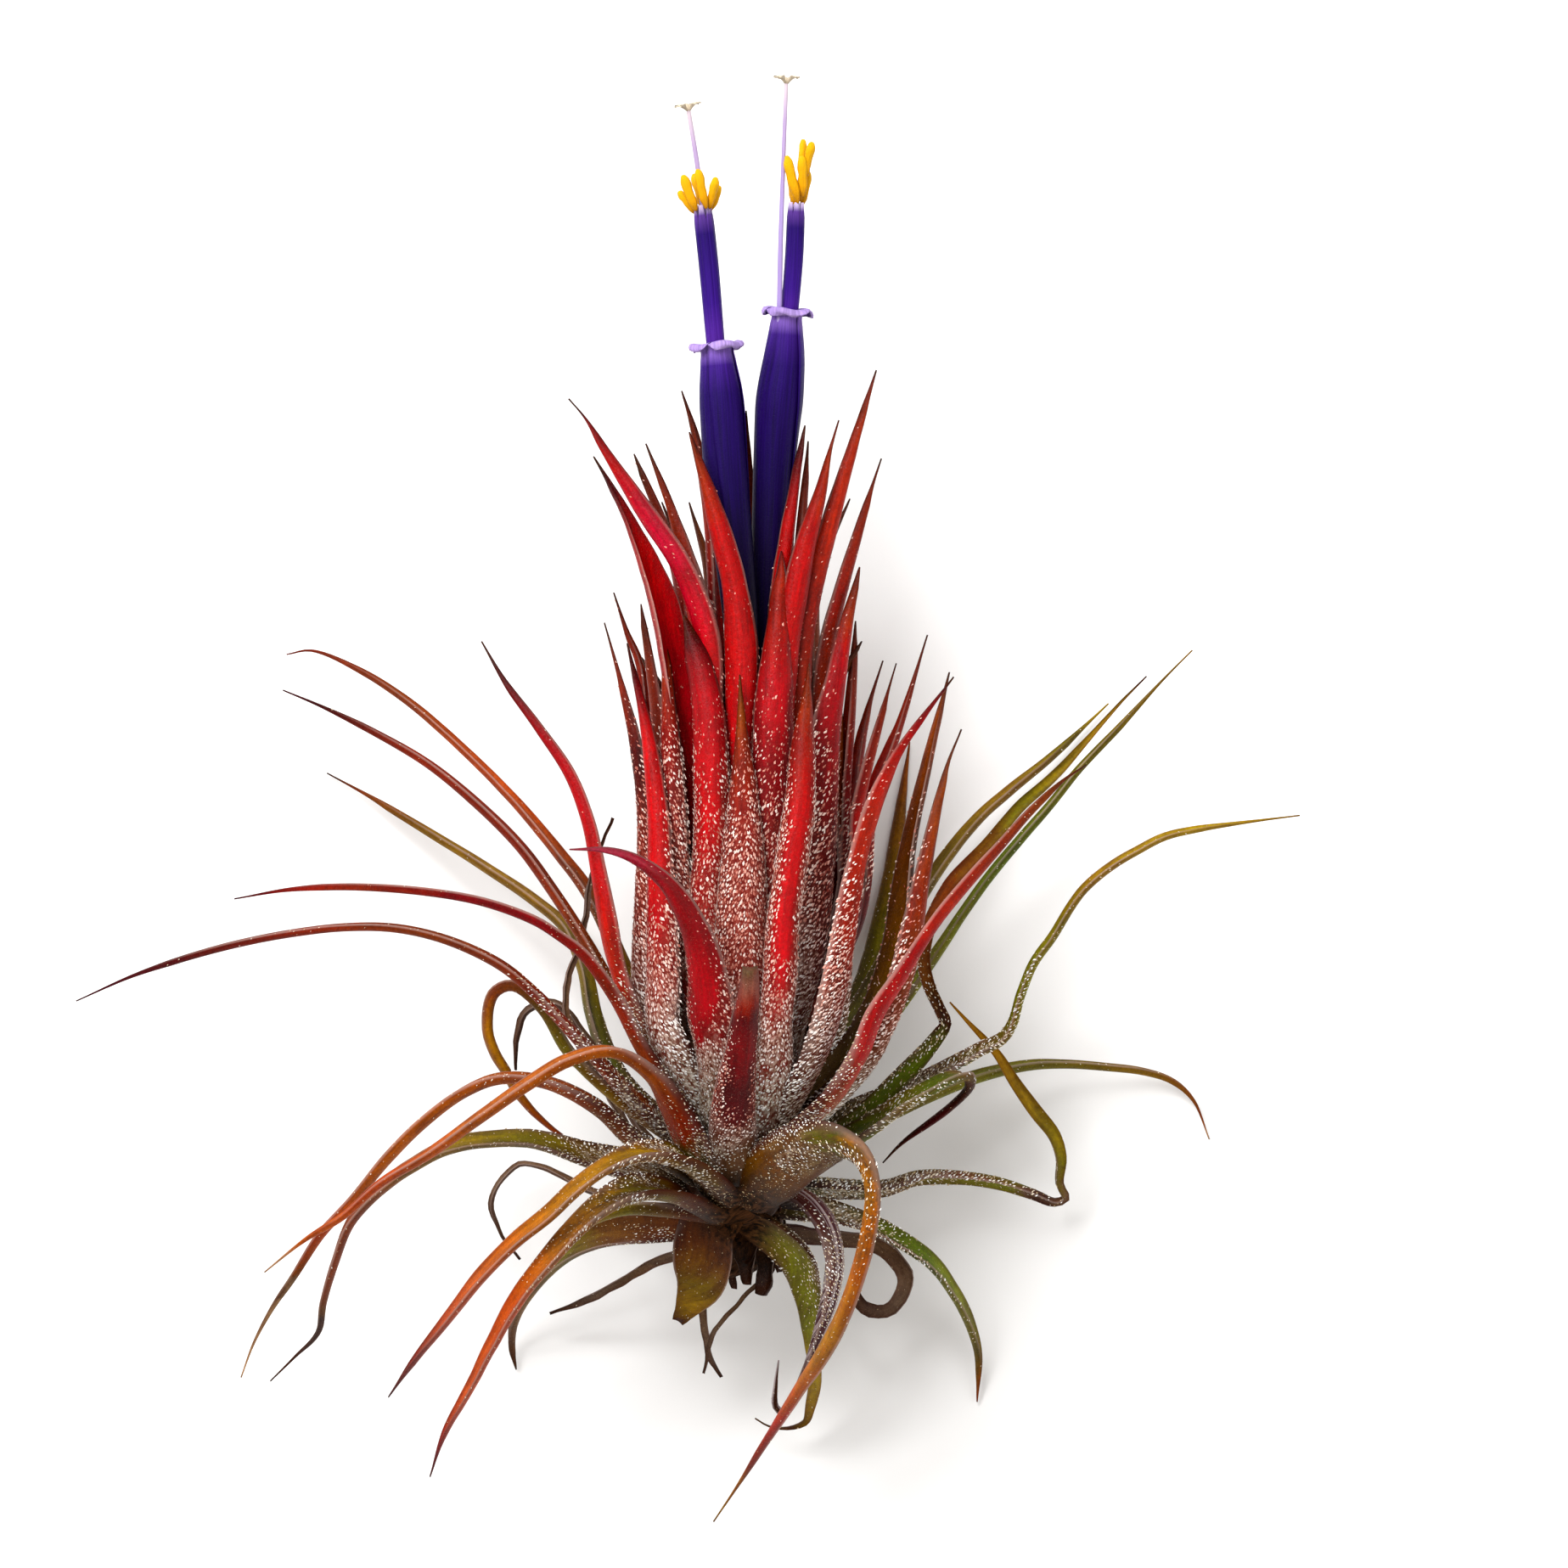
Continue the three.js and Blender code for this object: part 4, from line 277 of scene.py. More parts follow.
        (18.7, -21.6, 35.5, 4.2), (21.4, -17.5, 35.1, 3.08), (23.1, -14.8, 34.6, 2.36),
        (25.4, -11.5, 33.8, 2.24), (28.5, -7.8, 32.8, 2.16), (31.2, -4.8, 31.6, 1.5),
        (34.6, -1, 29.8, 1.1), (38, 2.1, 27.8, 0.7), (40.3, 3.6, 26.4, 0.6)]),
    "outer_leaf_27": ("satin", "moss 0, lime 34, green 55, olive 78, ochre 100", [(12, -32, 16, 2.6),
        (20.5, -22, 14.4, 2.3), (25.5, -15.1, 13.2, 1.7), (27.8, -11.6, 12.8, 1.4),
        (30.6, -7.7, 12.4, 1.4), (33.5, -4.2, 12, 1.3), (36.9, -0.3, 11.6, 1.1), (39.7, 3.2, 11.2, 0.9),
        (44, 7.7, 10.8, 0.7), (48.3, 12.3, 10.2, 0.6), (51.3, 15.3, 9.8, 0.6)]),
    "under_leaf_01": ("speckled", "silver 0, moss 30, olive 60, rust 100", [(2.4, -36, 18, 3),
        (-1, -28, 9, 2.8), (-3, -20, 3.4, 2.6), (-4, -11, 0.7, 2.2), (-4.4, -2, 0.3, 1.6),
        (-4, 7, 0.5, 0.7)]),
    "under_leaf_02": ("speckled", "silver 0, moss 30, olive 60, rust 100", [(6, -36, 16.6, 3),
        (7.4, -27, 8.6, 3), (8.6, -17, 2.6, 2.8), (9.6, -7, 0.5, 2.4), (10.4, 3, 0.3, 1.7),
        (11.4, 12, 0.5, 0.7)]),
    "under_leaf_03": ("speckled", "silver 0, moss 30, olive 60, rust 100", [(9.6, -36, 17, 3),
        (14, -28, 9.6, 2.8), (18, -19, 3.6, 2.5), (20.4, -10, 0.9, 2.1), (21.6, -2, 0.3, 1.5),
        (22.6, 6, 0.5, 0.7)]),
}

# Leaves deep in the rosette, in one piece with its core
CORE_LEAVES = [
    [(4, -20, 24, 2.2), (0.8, 4.9, 25, 2.4), (-0.4, 17.9, 25.2, 2.1), (-0.7, 22.1, 25.2, 2.55),
     (-2.2, 27.6, 25, 2.14), (-5.4, 35.1, 24.4, 0.6)],
    [(4.2, -20, 25.6, 2), (1.7, 5, 26.7, 2.2), (1.5, 16.8, 27, 4.2), (0.5, 21.5, 27, 4.2),
     (-1.5, 29.2, 26.9, 1.18), (-4.2, 36.1, 26.4, 0.6)],
    [(4, -15, 22.4, 2), (3, 15, 22.4, 2.2), (2.3, 28.1, 22.6, 1.92), (1.5, 33.6, 22.6, 1.57),
     (0.9, 36.8, 22.6, 1.1), (-0.6, 41.5, 22.4, 0.6)],
    [(6, -14, 21.6, 2.2), (6.4, 15, 20.8, 2.4), (6.2, 30, 21.2, 1.7), (5.9, 39.5, 21.6, 0.6)],
    [(8, -15, 22, 2), (10.4, 10, 22.2, 2.2), (11.4, 26, 22.6, 1.5), (12.2, 36.4, 23, 0.6)],
    [(8, -24, 22.5, 2.6), (14.4, -12, 23, 3), (15.9, 3.7, 22.8, 2.2), (16.6, 11.4, 22.4, 1.5),
     (17, 18.2, 22, 0.6)],
    [(0, -20, 21, 2), (-3.6, 0, 20.6, 1.7), (-4.8, 13.7, 20.2, 1), (-6.1, 17, 20, 0.8),
     (-7.5, 21.1, 19.8, 0.6)],
    [(9, -26, 21, 3), (17, -12, 21.8, 3), (18.6, 0, 21.8, 2.2), (20.5, 5.2, 21.4, 1.67),
     (21.6, 8.2, 21, 0.8), (24.3, 16.8, 20, 0.6)],
    [(9, -26, 24, 3), (16.4, -12.8, 25.4, 3), (16.9, -1.7, 25.3, 2.58), (17.5, 1.4, 25.2, 2.65),
     (19.9, 9.9, 24.6, 0.68), (21.1, 13.9, 24, 0.6)],
    [(8.6, -24, 19, 2.6), (15.3, -9.9, 18.4, 2.8), (17.3, 4.7, 18.4, 1.53), (18.3, 9.4, 18, 0.69),
     (19.8, 14.2, 17.4, 0.6)],
]

# Dried leaves and strands, in one piece with the collar of old leaf bases
DRIED_LEAVES = [
    [(2, -42, 18, 1.8), (-5, -33, 17, 1.5), (-9.6, -25, 16.6, 1.2), (-13.4, -20.4, 17.4, 1),
     (-16.2, -21.2, 17.6, 1), (-17.5, -24.6, 17, 0.9), (-17.6, -27.4, 16.4, 0.6)],
    [(2, -42, 19, 1.4), (-6, -33, 20, 1), (-12, -22.4, 20.4, 0.8), (-12.2, -19, 20.8, 0.8),
     (-10.8, -13.8, 20.8, 0.8), (-10, -9, 20.6, 0.7), (-8.6, -4.1, 20, 0.7), (-7.7, -1.6, 19.6, 0.6)],
    [(3, -43, 14, 2), (-6, -41, 9, 1.2), (-11.5, -39, 7.4, 0.8), (-14.6, -37.4, 7, 0.75),
     (-17.2, -37, 6.6, 0.7), (-19.4, -39, 5.8, 0.7), (-20, -41.8, 5, 0.65), (-19.2, -43.9, 4.4, 0.65),
     (-17.1, -46.7, 3.6, 0.6)],
    [(3, -44.6, 13, 2), (-2, -46.4, 9.4, 1.4), (-6.4, -48.6, 6.4, 1.05), (-10.4, -50.9, 4.2, 1),
     (-14.1, -52.3, 2.6, 0.9)],
    [(3.4, -45, 14, 1.6), (1.5, -50.8, 10, 1.1), (1.8, -54.4, 8, 0.9), (2.5, -57.1, 6.4, 0.8),
     (3.4, -58.7, 5.6, 0.6)],
    [(7, -44, 17, 1.4), (8.4, -47.6, 17.4, 0.8), (5.7, -50.2, 15.8, 0.7), (2.9, -53.8, 13.4, 0.65),
     (1.5, -58.3, 10.6, 0.6)],
    [(8, -43.6, 12.6, 2.4), (15, -44.4, 11, 2.3), (20, -45.6, 10.4, 2.2), (22.4, -48.6, 10.2, 2),
     (20.8, -51.6, 10, 1.9), (17.8, -51.8, 9.8, 1.7), (16.5, -49.6, 9.8, 1.5)],
]

# What a coat of scales has, unless its row in COATS says otherwise
COAT = dict(
    soft=0.075,  # how gently the scales thin out at reach
    bare=0,  # how clean the midline is
    bare_from=0.3,  # the share of the way where the clean midline begins
    stripe=0.66,  # its half width
    hidden=0,  # the share of the leaf that the rosette covers
    streaks=0,  # how much the scales gather in streaks
    size=0.48,  # length of a scale
    pale=False,  # cream scales, not rosy ones
    pits=0.0,  # marks of age
    grooves=0.0,
)
# What the coats of most outer leaves have in common
STREAKED = dict(bare_from=0.02, stripe=0.4, streaks=0.5, size=0.34, pale=True)


def coat(root, reach, tail, inner, rim, kind={}, **more):
    """A coat as dense as root up to reach and as tail above, with the share inner of that on the channelled
    side and rim more on the edges
    """
    own = dict(root=root, reach=reach, tail=tail, inner=inner, rim=rim)
    return SimpleNamespace(**{**COAT, **kind, **own, **more})


COATS = {
    "felted": coat(0.95, 0.74, 0.1, 0.25, 0.4, soft=0.06),
    "dusky": coat(0.85, 0.66, 0.06, 0.25, 0.4),
    "striped": coat(1.1, 0.74, 0.02, 0.25, 0.6, bare=1.0, bare_from=0.26, stripe=0.58),
    "banded": coat(1.0, 0.62, 0.02, 0.25, 0.3, bare=0.95, bare_from=0.36, stripe=0.85),
    "arched": coat(1.1, 0.46, 0.01, 0.25, 0.12, bare=1.0, bare_from=0.26),
    "stub": coat(1.15, 0.62, 0.03, 0.25, 0.4, bare=1.0, bare_from=0.26),
    "flecked": coat(1.1, 0.46, 0.02, 0.25, 0.35, bare=0.2, bare_from=0.2),
    "sprinkled": coat(1.0, 0.56, 0.02, 0.25, 0.3, soft=0.10),
    "laced": coat(1.0, 0.66, 0.02, 0.25, 0.4, soft=0.07, bare=0.4, bare_from=0.4),
    "deep": coat(0.8, 0.55, 0.03, 0.2, 0.2, hidden=0.45),
    "far": coat(0.8, 0.55, 0.04, 0.05, 0.2, size=0.44),
    "smooth": coat(0.8, 0.42, 0.012, 0.25, 0.15),
    "satin": coat(1.2, 0.20, 0.012, 0.6, 0.08, STREAKED, bare=0.7),
    "glinting": coat(1.3, 0.22, 0.015, 0.8, 0.1, STREAKED, bare=0.8, stripe=0.45),
    "bright": coat(1.3, 0.15, 0.012, 0.9, 0.1, STREAKED, bare=0.6, streaks=0.6),
    "boat": coat(1.2, 0.23, 0.012, 0.9, 0.1, STREAKED, bare=0.3, streaks=0.9, size=0.38, pits=1.0),
    "speckled": coat(1.2, 0.34, 0.025, 0.8, 0.2, STREAKED, bare=0.4, bare_from=0.06, size=0.38),
    "cut": coat(0.35, 0.5, 0.12, 1.0, 0.1, size=0.32, pale=True, pits=0.3),
    "grooved": coat(0.8, 0.4, 0.1, 1.0, 0.4, size=0.32, pale=True, grooves=1.0),
    "dry": coat(0.10, 0.5, 0.02, 1.0, 0, size=0.3, pale=True),
}

ROW_PITCH, SPOT_PITCH = 0.44, 0.28  # between rows of scales, and between scales in a row
JITTER_ALONG, JITTER_ACROSS = 0.5, 0.36  # how far a scale strays, in these pitches
SCALE_LEAN, SCALE_LEAN_MORE = 0.25, 0.35  # how far scales lean to the edges, and more near them, in radians
SCALE_SCATTER = 0.2  # how unevenly they lean
SCALE_VARIES = 0.15  # how uneven their lengths are
SCALE_WIDE, SCALE_HIGH = (0.19, 0.26), (0.10, 0.30)  # shares of a scale's length
SCALE_SHIFT, SCALE_SUNK = 0.2, 0.02
SMALLEST = 0.6  # size of the scales where they stand thin, as a share
TONES = 16  # brightness steps of scales
FROST_SHARE = 0.26  # the share of a leaf whose scales are silver grey rather than rosy
HUB = (5.6, -42.5)  # where the old leaves meet, seen from the front
HUB_DARK, HUB_CLEAR, HUB_SCALED = 0.5, 6.5, 13.0  # how far from it a skin is darkest with stain and painted shade, clear of them, and fully scaled
OUTER_VIVID, ROSETTE_VIVID = 1.3, 1.1  # how strong their colours are
OUTER_SHADED_FOOT, ROSETTE_SHADED_FOOT = 0.10, 0.11  # the shares of a leaf that get painted shade where it is clasped
STATION = 0.8  # along a leaf, between two rings of points
OUTER_SIDE, INNER_SIDE = 11, 7  # points across the convex and the channelled side of a leaf
LEAF_THIN, LEAF_THIN_SHARE, LEAF_THICKEST = 0.45, 0.28, 1.6  # thickness: least, share of the width, and most
EDGE_LIFT = 0.12  # how far the edges stand up, a share of the width
EDGE_HIGH, BELLY_DEEP, CHANNEL_DEEP = 0.3, 0.7, 0.22  # shares of a leaf's thickness
WAVY_EDGE, WAVY_EDGE_SCALE = 0.035, 3.1  # share of the width, and millimetres
WAVY_LINE, WAVY_LINE_SCALE = 0.06, 2.3
CRUMPLE_SCALE = 1.7
SHARP_TIP, TIP_WIDTH = 0.8, 0.16  # a leaf that ends below the one is drawn out to the other
TIP_FROM, TIP_GAIN = 0.75, 1.02  # the share of the way from which it is, and what the rest gains in width
SHEATH, SHEATH_END = 1.3, 0.3  # how much wider a leaf is where it clasps the rosette, and up to which share
AXIS_FOOT, AXIS_HEAD = np.array([5.0, -39.0, 24.0]), np.array([6.4, 12.0, 24.6])
INWARD_WEIGHT = 3  # of the middle's direction against the bend's
NEAR_TURN = 0.3  # how much more the near leaves face down, for each millimetre above the middle
TURN = 2 * math.pi


def unit(v):
    return v / np.maximum(np.linalg.norm(v, axis=-1, keepdims=True), 1e-12)


def smooth(x, low, high):
    t = np.clip((x - low) / (high - low), 0, 1)
    return t * t * (3 - 2 * t)


def stacked(*values):
    """Values that spread to one shape, side by side on a last axis"""
    return np.stack(np.broadcast_arrays(*values), axis=-1)


def waves(places, seed, scale):
    """Smooth noise between about -1 and 1 at places, in millimetres over scale"""
    rng = np.random.default_rng(seed)
    p = np.asarray(places, float) / scale
    total = np.zeros(p.shape[:-1])
    for octave in range(1, 5):
        direction = unit(rng.normal(size=3)) * octave * 1.7
        total += np.sin(p @ direction + rng.uniform(0, 6.28)) / octave
    return total / 1.6


def crumpled(grid, seed, scale):
    """Waves in the three directions"""
    return stacked(*(waves(grid, seed + k, scale) for k in range(3)))


def spline(line, step):
    """Points, directions, sizes, lengths and shares of the way along a curve through the line's points"""
    line = np.array(line, float)
    points = line[:, :3]
    n = len(points)
    p = np.vstack([2 * points[0] - points[1], points, 2 * points[-1] - points[-2]])
    places, sizes, ways = [], [], []
    for i in range(n - 1):
        p0, p1, p2, p3 = p[i:i + 4]
        d0, d1, d2 = (math.sqrt(np.linalg.norm(b - a)) for a, b in ((p0, p1), (p1, p2), (p2, p3)))
        t1 = ((p1 - p0) / d0 - (p2 - p0) / (d0 + d1) + (p2 - p1) / d1) * d1
        t2 = ((p2 - p1) / d1 - (p3 - p1) / (d1 + d2) + (p3 - p2) / d2) * d1
        count = max(2, math.ceil(np.linalg.norm(p2 - p1) / step))
        t = (np.arange(count + (i == n - 2)) / count)[:, None]
        c2, c3 = -3 * p1 + 3 * p2 - 2 * t1 - t2, 2 * p1 - 2 * p2 + t1 + t2
        places.append(p1 + t * t1 + t * t * c2 + t ** 3 * c3)
        ways.append(t1 + 2 * t * c2 + 3 * t * t * c3)
        sizes.append(line[i, 3] + (line[i + 1, 3] - line[i, 3]) * t[:, 0])
    places, ways, sizes = np.vstack(places), unit(np.vstack(ways)), np.concatenate(sizes)
    lengths = np.concatenate([[0], np.cumsum(np.linalg.norm(np.diff(places, axis=0), axis=1))])
    padded = np.pad(sizes, 2, mode="edge")
    eased = sum(padded[k:k + len(sizes)] for k in range(5)) / 5
    eased[0], eased[-1] = sizes[0], sizes[-1]
    return places, ways, eased, lengths, lengths / lengths[-1]


def carried(first, ways):
    """A side direction carried along the curve without twist"""
    ups = np.empty_like(ways)
    up = np.array(first, float)
    for i, way in enumerate(ways):
        up = unit(up - way * (up @ way))
        ups[i] = up
    return ups


def turned(across, up, angle):
    """The direction at an angle from across to up"""
    return across * np.cos(angle) + up * np.sin(angle)


def round_frame(line, step):
    """A curve as by spline, with the up and across directions after its own"""
    places, ways, *rest = spline(line, step)
    ups = carried((0, 0, 1), ways)
    return places, ways, ups, np.cross(ways, ups), *rest


def round_grid(line, sides, step, profile=lambda angle, share: 1):
    """Rings of a round body along (x, y, z, radius)"""
    places, _, ups, across, radius, lengths, share = round_frame(line, step)
    angle = np.linspace(0, TURN, sides, endpoint=False)[None]
    share = share[:, None]
    r = radius[:, None] * np.ones(sides) * profile(angle, share)
    grid = places[:, None] + turned(across[:, None], ups[:, None], angle[..., None]) * r[..., None]
    return grid, stacked(r * angle, lengths[:, None], 0.0), share


def axis_at(y):
    return AXIS_FOOT + (AXIS_HEAD - AXIS_FOOT) * ((y - AXIS_FOOT[1]) / (AXIS_HEAD[1] - AXIS_FOOT[1]))


def root_face(line):
    """The way a leaf's channel faces at its root: to the rosette's middle, away from its bend and down"""
    points = np.array(line, float)[:, :3]
    belly = points[len(points) // 2]
    inward = axis_at(belly[1]) - belly
    inward[1] = 0
    bulge = points.mean(axis=0) - (points[0] + points[-1]) / 2
    lower = np.array([0, 0, NEAR_TURN * min(0, axis_at(belly[1])[2] - belly[2])])
    return unit(inward) * INWARD_WEIGHT + bulge + lower


def leaf_grid(line, seed, face=None, sheath=SHEATH, crumple=0.0, tip=TIP_WIDTH):
    """The rings of a leaf's skin, with each point's place, share of the way, place across and side"""
    places, ways, width, lengths, share = spline(line, STATION)
    ups = carried(root_face(line) if face is None else face, ways)
    across = np.cross(ups, ways)
    end = line[-1][3]
    if end <= SHARP_TIP:
        drawn = (width - end) * (1 - tip / width.max()) * TIP_GAIN
        width = tip + drawn + (end - tip) * (1 - smooth(share, TIP_FROM, 1.0))
    width = width * (1 + (sheath - 1) * (1 - smooth(share, 0.0, SHEATH_END)))
    width *= 1 + WAVY_EDGE * waves(places, seed, WAVY_EDGE_SCALE)
    thick = np.minimum(LEAF_THICKEST, LEAF_THIN + LEAF_THIN_SHARE * width)
    thick = thick * np.clip(width / 0.6, 0.25, 1)
    bend = WAVY_LINE * waves(places, seed + 1, WAVY_LINE_SCALE) * np.clip(width, 0, 1)
    places = places + across * bend[:, None]
    s_out = -np.cos(np.linspace(0, math.pi, OUTER_SIDE))
    s_in = np.cos(np.linspace(0, math.pi, INNER_SIDE + 2))[1:-1]
    s = np.concatenate([s_out, s_in])
    lift = EDGE_LIFT * width / 2
    edge = EDGE_HIGH * thick + lift
    h_out = edge[:, None] - (edge + BELLY_DEEP * thick)[:, None] * np.sqrt(np.clip(1 - s_out ** 2, 0, 1))
    h_in = edge[:, None] - (lift + CHANNEL_DEEP * thick)[:, None] * (1 - s_in ** 2)
    h = np.concatenate([h_out, h_in], axis=1)[..., None]
    grid = places[:, None] + across[:, None] * (s * width[:, None] / 2)[..., None] + ups[:, None] * h
    if crumple:
        grid = grid + crumpled(grid, seed + 2, CRUMPLE_SCALE) * crumple
    inner = np.arange(len(s)) >= OUTER_SIDE
    girth = np.cumsum(np.linalg.norm(np.diff(grid, axis=1, prepend=grid[:, -1:]), axis=2), axis=1)
    girth -= girth[:, [OUTER_SIDE // 2]]
    place = stacked(girth, lengths[:, None], seed * 7.31 % 50)
    return grid, place, *np.broadcast_arrays(share[:, None], s, inner)


# What a mesh holds at each point for its materials, and how many numbers each value has
VALUES = dict(leaf_place=3, leaf_share=1, leaf_dust=1, leaf_rim=1, leaf_side=1, leaf_hub=1, tone=1)


class Piece:
    """Gathers closed bodies into one mesh, each with its material and its values at each point"""

    def __init__(self, *materials):
        self.materials = materials
        self.points, self.faces, self.slots, self.smooth = [], [], [], []
        self.values = {name: [] for name in VALUES}
        self.count = 0

    def add(self, points, faces, slot=0, smooth_faces=True, **values):
        n = len(points)
        self.points.append(points)
        for name, width in VALUES.items():
            self.values[name].append(np.reshape(values.get(name, np.zeros(n * width)), (n, width)))
        for block in faces:
            self.faces.append(np.asarray(block) + self.count)
            self.slots.append(np.full(len(block), slot))
            self.smooth.append(np.full(len(block), smooth_faces))
        self.count += n

    def build(self, name):
        points = np.vstack(self.points) * MM
        points[:, 2] = np.maximum(points[:, 2], 0)
        corners = np.concatenate([f.ravel() for f in self.faces])
        totals = np.concatenate([np.full(len(f), f.shape[1]) for f in self.faces])
        mesh = bpy.data.meshes.new(name)
        mesh.vertices.add(len(points))
        mesh.loops.add(len(corners))
        mesh.polygons.add(len(totals))
        for items, key, data, kind in (
                (mesh.vertices, "co", points, np.float32),
                (mesh.loops, "vertex_index", corners, np.int32),
                (mesh.polygons, "loop_start", np.concatenate([[0], np.cumsum(totals)[:-1]]), np.int32),
                (mesh.polygons, "material_index", np.concatenate(self.slots), np.int32),
                (mesh.polygons, "use_smooth", np.concatenate(self.smooth), bool)):
            items.foreach_set(key, data.astype(kind).ravel())
        for key, width in VALUES.items():
            kind, field = ("FLOAT_VECTOR", "vector") if width == 3 else ("FLOAT", "value")
            layer = mesh.attributes.new(key, kind, "POINT")
            layer.data.foreach_set(field, np.vstack(self.values[key]).astype(np.float32).ravel())
        for material in self.materials:
            mesh.materials.append(material)
        mesh.update(calc_edges=True)
        mesh.validate()
        piece = bpy.data.objects.new(name, mesh)
        bpy.context.scene.collection.objects.link(piece)
        return piece


def tube_faces(rings, sides):
    """Faces of a closed body of rings x sides points, and a middle point at each end after them"""
    i, j = np.meshgrid(np.arange(rings - 1), np.arange(sides), indexing="ij")
    a, b = (i * sides + j).ravel(), (i * sides + (j + 1) % sides).ravel()
    k = np.arange(sides)
    after, top, first = (k + 1) % sides, (rings - 1) * sides, np.full(sides, rings * sides)
    return [np.stack([a, b, b + sides, a + sides], axis=1), np.stack([first, after, k], axis=1),
            np.stack([first + 1, top + k, top + after], axis=1)]


def signed_volume(points, faces):
    total = 0.0
    for block in faces:
        a = points[block[:, 0]]
        for k in range(1, block.shape[1] - 1):
            total += np.einsum("ij,ij->", a, np.cross(points[block[:, k]], points[block[:, k + 1]]))
    return total


def add_tube(piece, grid, slot=0, **values):
    """Adds the closed body whose rings are the rows of a grid of points"""
    rings, sides = grid.shape[:2]
    points = np.vstack([grid.reshape(-1, 3), grid[0].mean(axis=0), grid[-1].mean(axis=0)])
    full = {}
    for name, value in values.items():
        flat = np.broadcast_to(value, (rings, sides) + np.shape(value)[2:]).reshape(rings * sides, -1)
        full[name] = np.vstack([flat, flat[:1], flat[-1:]])
    faces = tube_faces(rings, sides)
    if signed_volume(points, faces) < 0:
        faces = [block[:, ::-1] for block in faces]
    piece.add(points, faces, slot, **full)


def coat_density(coat, share, s, inner, place):
    """How dense the scales stand at each point of a leaf's skin"""
    def uneven(stretch, step, scale):
        return waves(place * (1, stretch, 1), int(place[0, 0, 2] * 10) + step, scale)

    patchy = 0.22 * uneven(0.5, 5, 2.2)
    clumps = 0.45 * uneven(0.6, 6, 0.9) * (1 - smooth(share, 0.2, 0.4))
    fall = 1 / (1 + np.exp((share + 0.25 * patchy - coat.reach) / coat.soft))
    density = coat.tail + (coat.root - coat.tail) * fall
    bare = coat.bare * smooth(share + 0.3 * patchy, coat.bare_from, coat.bare_from + 0.16)
    middle = np.exp(-np.abs(s / coat.stripe) ** 4)
    outer = density * (1 - bare * middle) + coat.rim * np.abs(s) ** 5 * (1 - smooth(share, 0.62, 0.92))
    shown = smooth(share, coat.hidden - 0.08, coat.hidden) if coat.hidden else 1
    gathered = np.maximum(0, 1 + patchy + clumps + coat.streaks * uneven(0.12, 7, 1.3))
    return np.where(inner, density * coat.inner, outer) * gathered * shown


def hub_light(grid, clear):
    """0 at the hub where the old leaves meet, rising to 1 at the clear distance from it; it sets the stain
    and painted shade there, and how thinly the scales stand
    """
    return smooth(np.hypot(grid[..., 0] - HUB[0], grid[..., 1] - HUB[1]), HUB_DARK, clear)


def rows_of_spots(grid, girth, rng):
    """Spots over a skin in staggered rows, as station, share to the next, column and share to the next"""
    middles = grid.mean(axis=1)
    run = np.concatenate([[0], np.cumsum(np.linalg.norm(np.diff(middles, axis=0), axis=1))])
    closing = np.linalg.norm(grid[:, 0] - grid[:, -1], axis=1)
    across = np.concatenate([girth, (girth[:, -1] + closing)[:, None]], axis=1)
    found = []
    for k in range(int(run[-1] / ROW_PITCH)):
        station = (k + 0.5) * ROW_PITCH
        i = min(int(np.searchsorted(run, station, side="right")) - 1, len(run) - 2)
        step = run[i + 1] - run[i]
        v = (station - run[i]) / step
        here = across[i] * (1 - v) + across[i + 1] * v
        first = math.ceil(here[0] / SPOT_PITCH - 0.5 * (k % 2))
        x = (np.arange(first, int(here[-1] / SPOT_PITCH) + 1) + 0.5 * (k % 2)) * SPOT_PITCH
        strays = rng.uniform(-JITTER_ACROSS, JITTER_ACROSS, len(x)) * SPOT_PITCH
        x = np.clip(x + strays, here[0], here[-1] - 1e-6)
        column = np.interp(x, here, np.arange(len(here)))
        v = v + rng.uniform(-JITTER_ALONG, JITTER_ALONG, len(x)) * ROW_PITCH / step
        found.append(stacked(i, np.clip(v, 0, 1), np.floor(column), column % 1))
    return np.vstack(found)


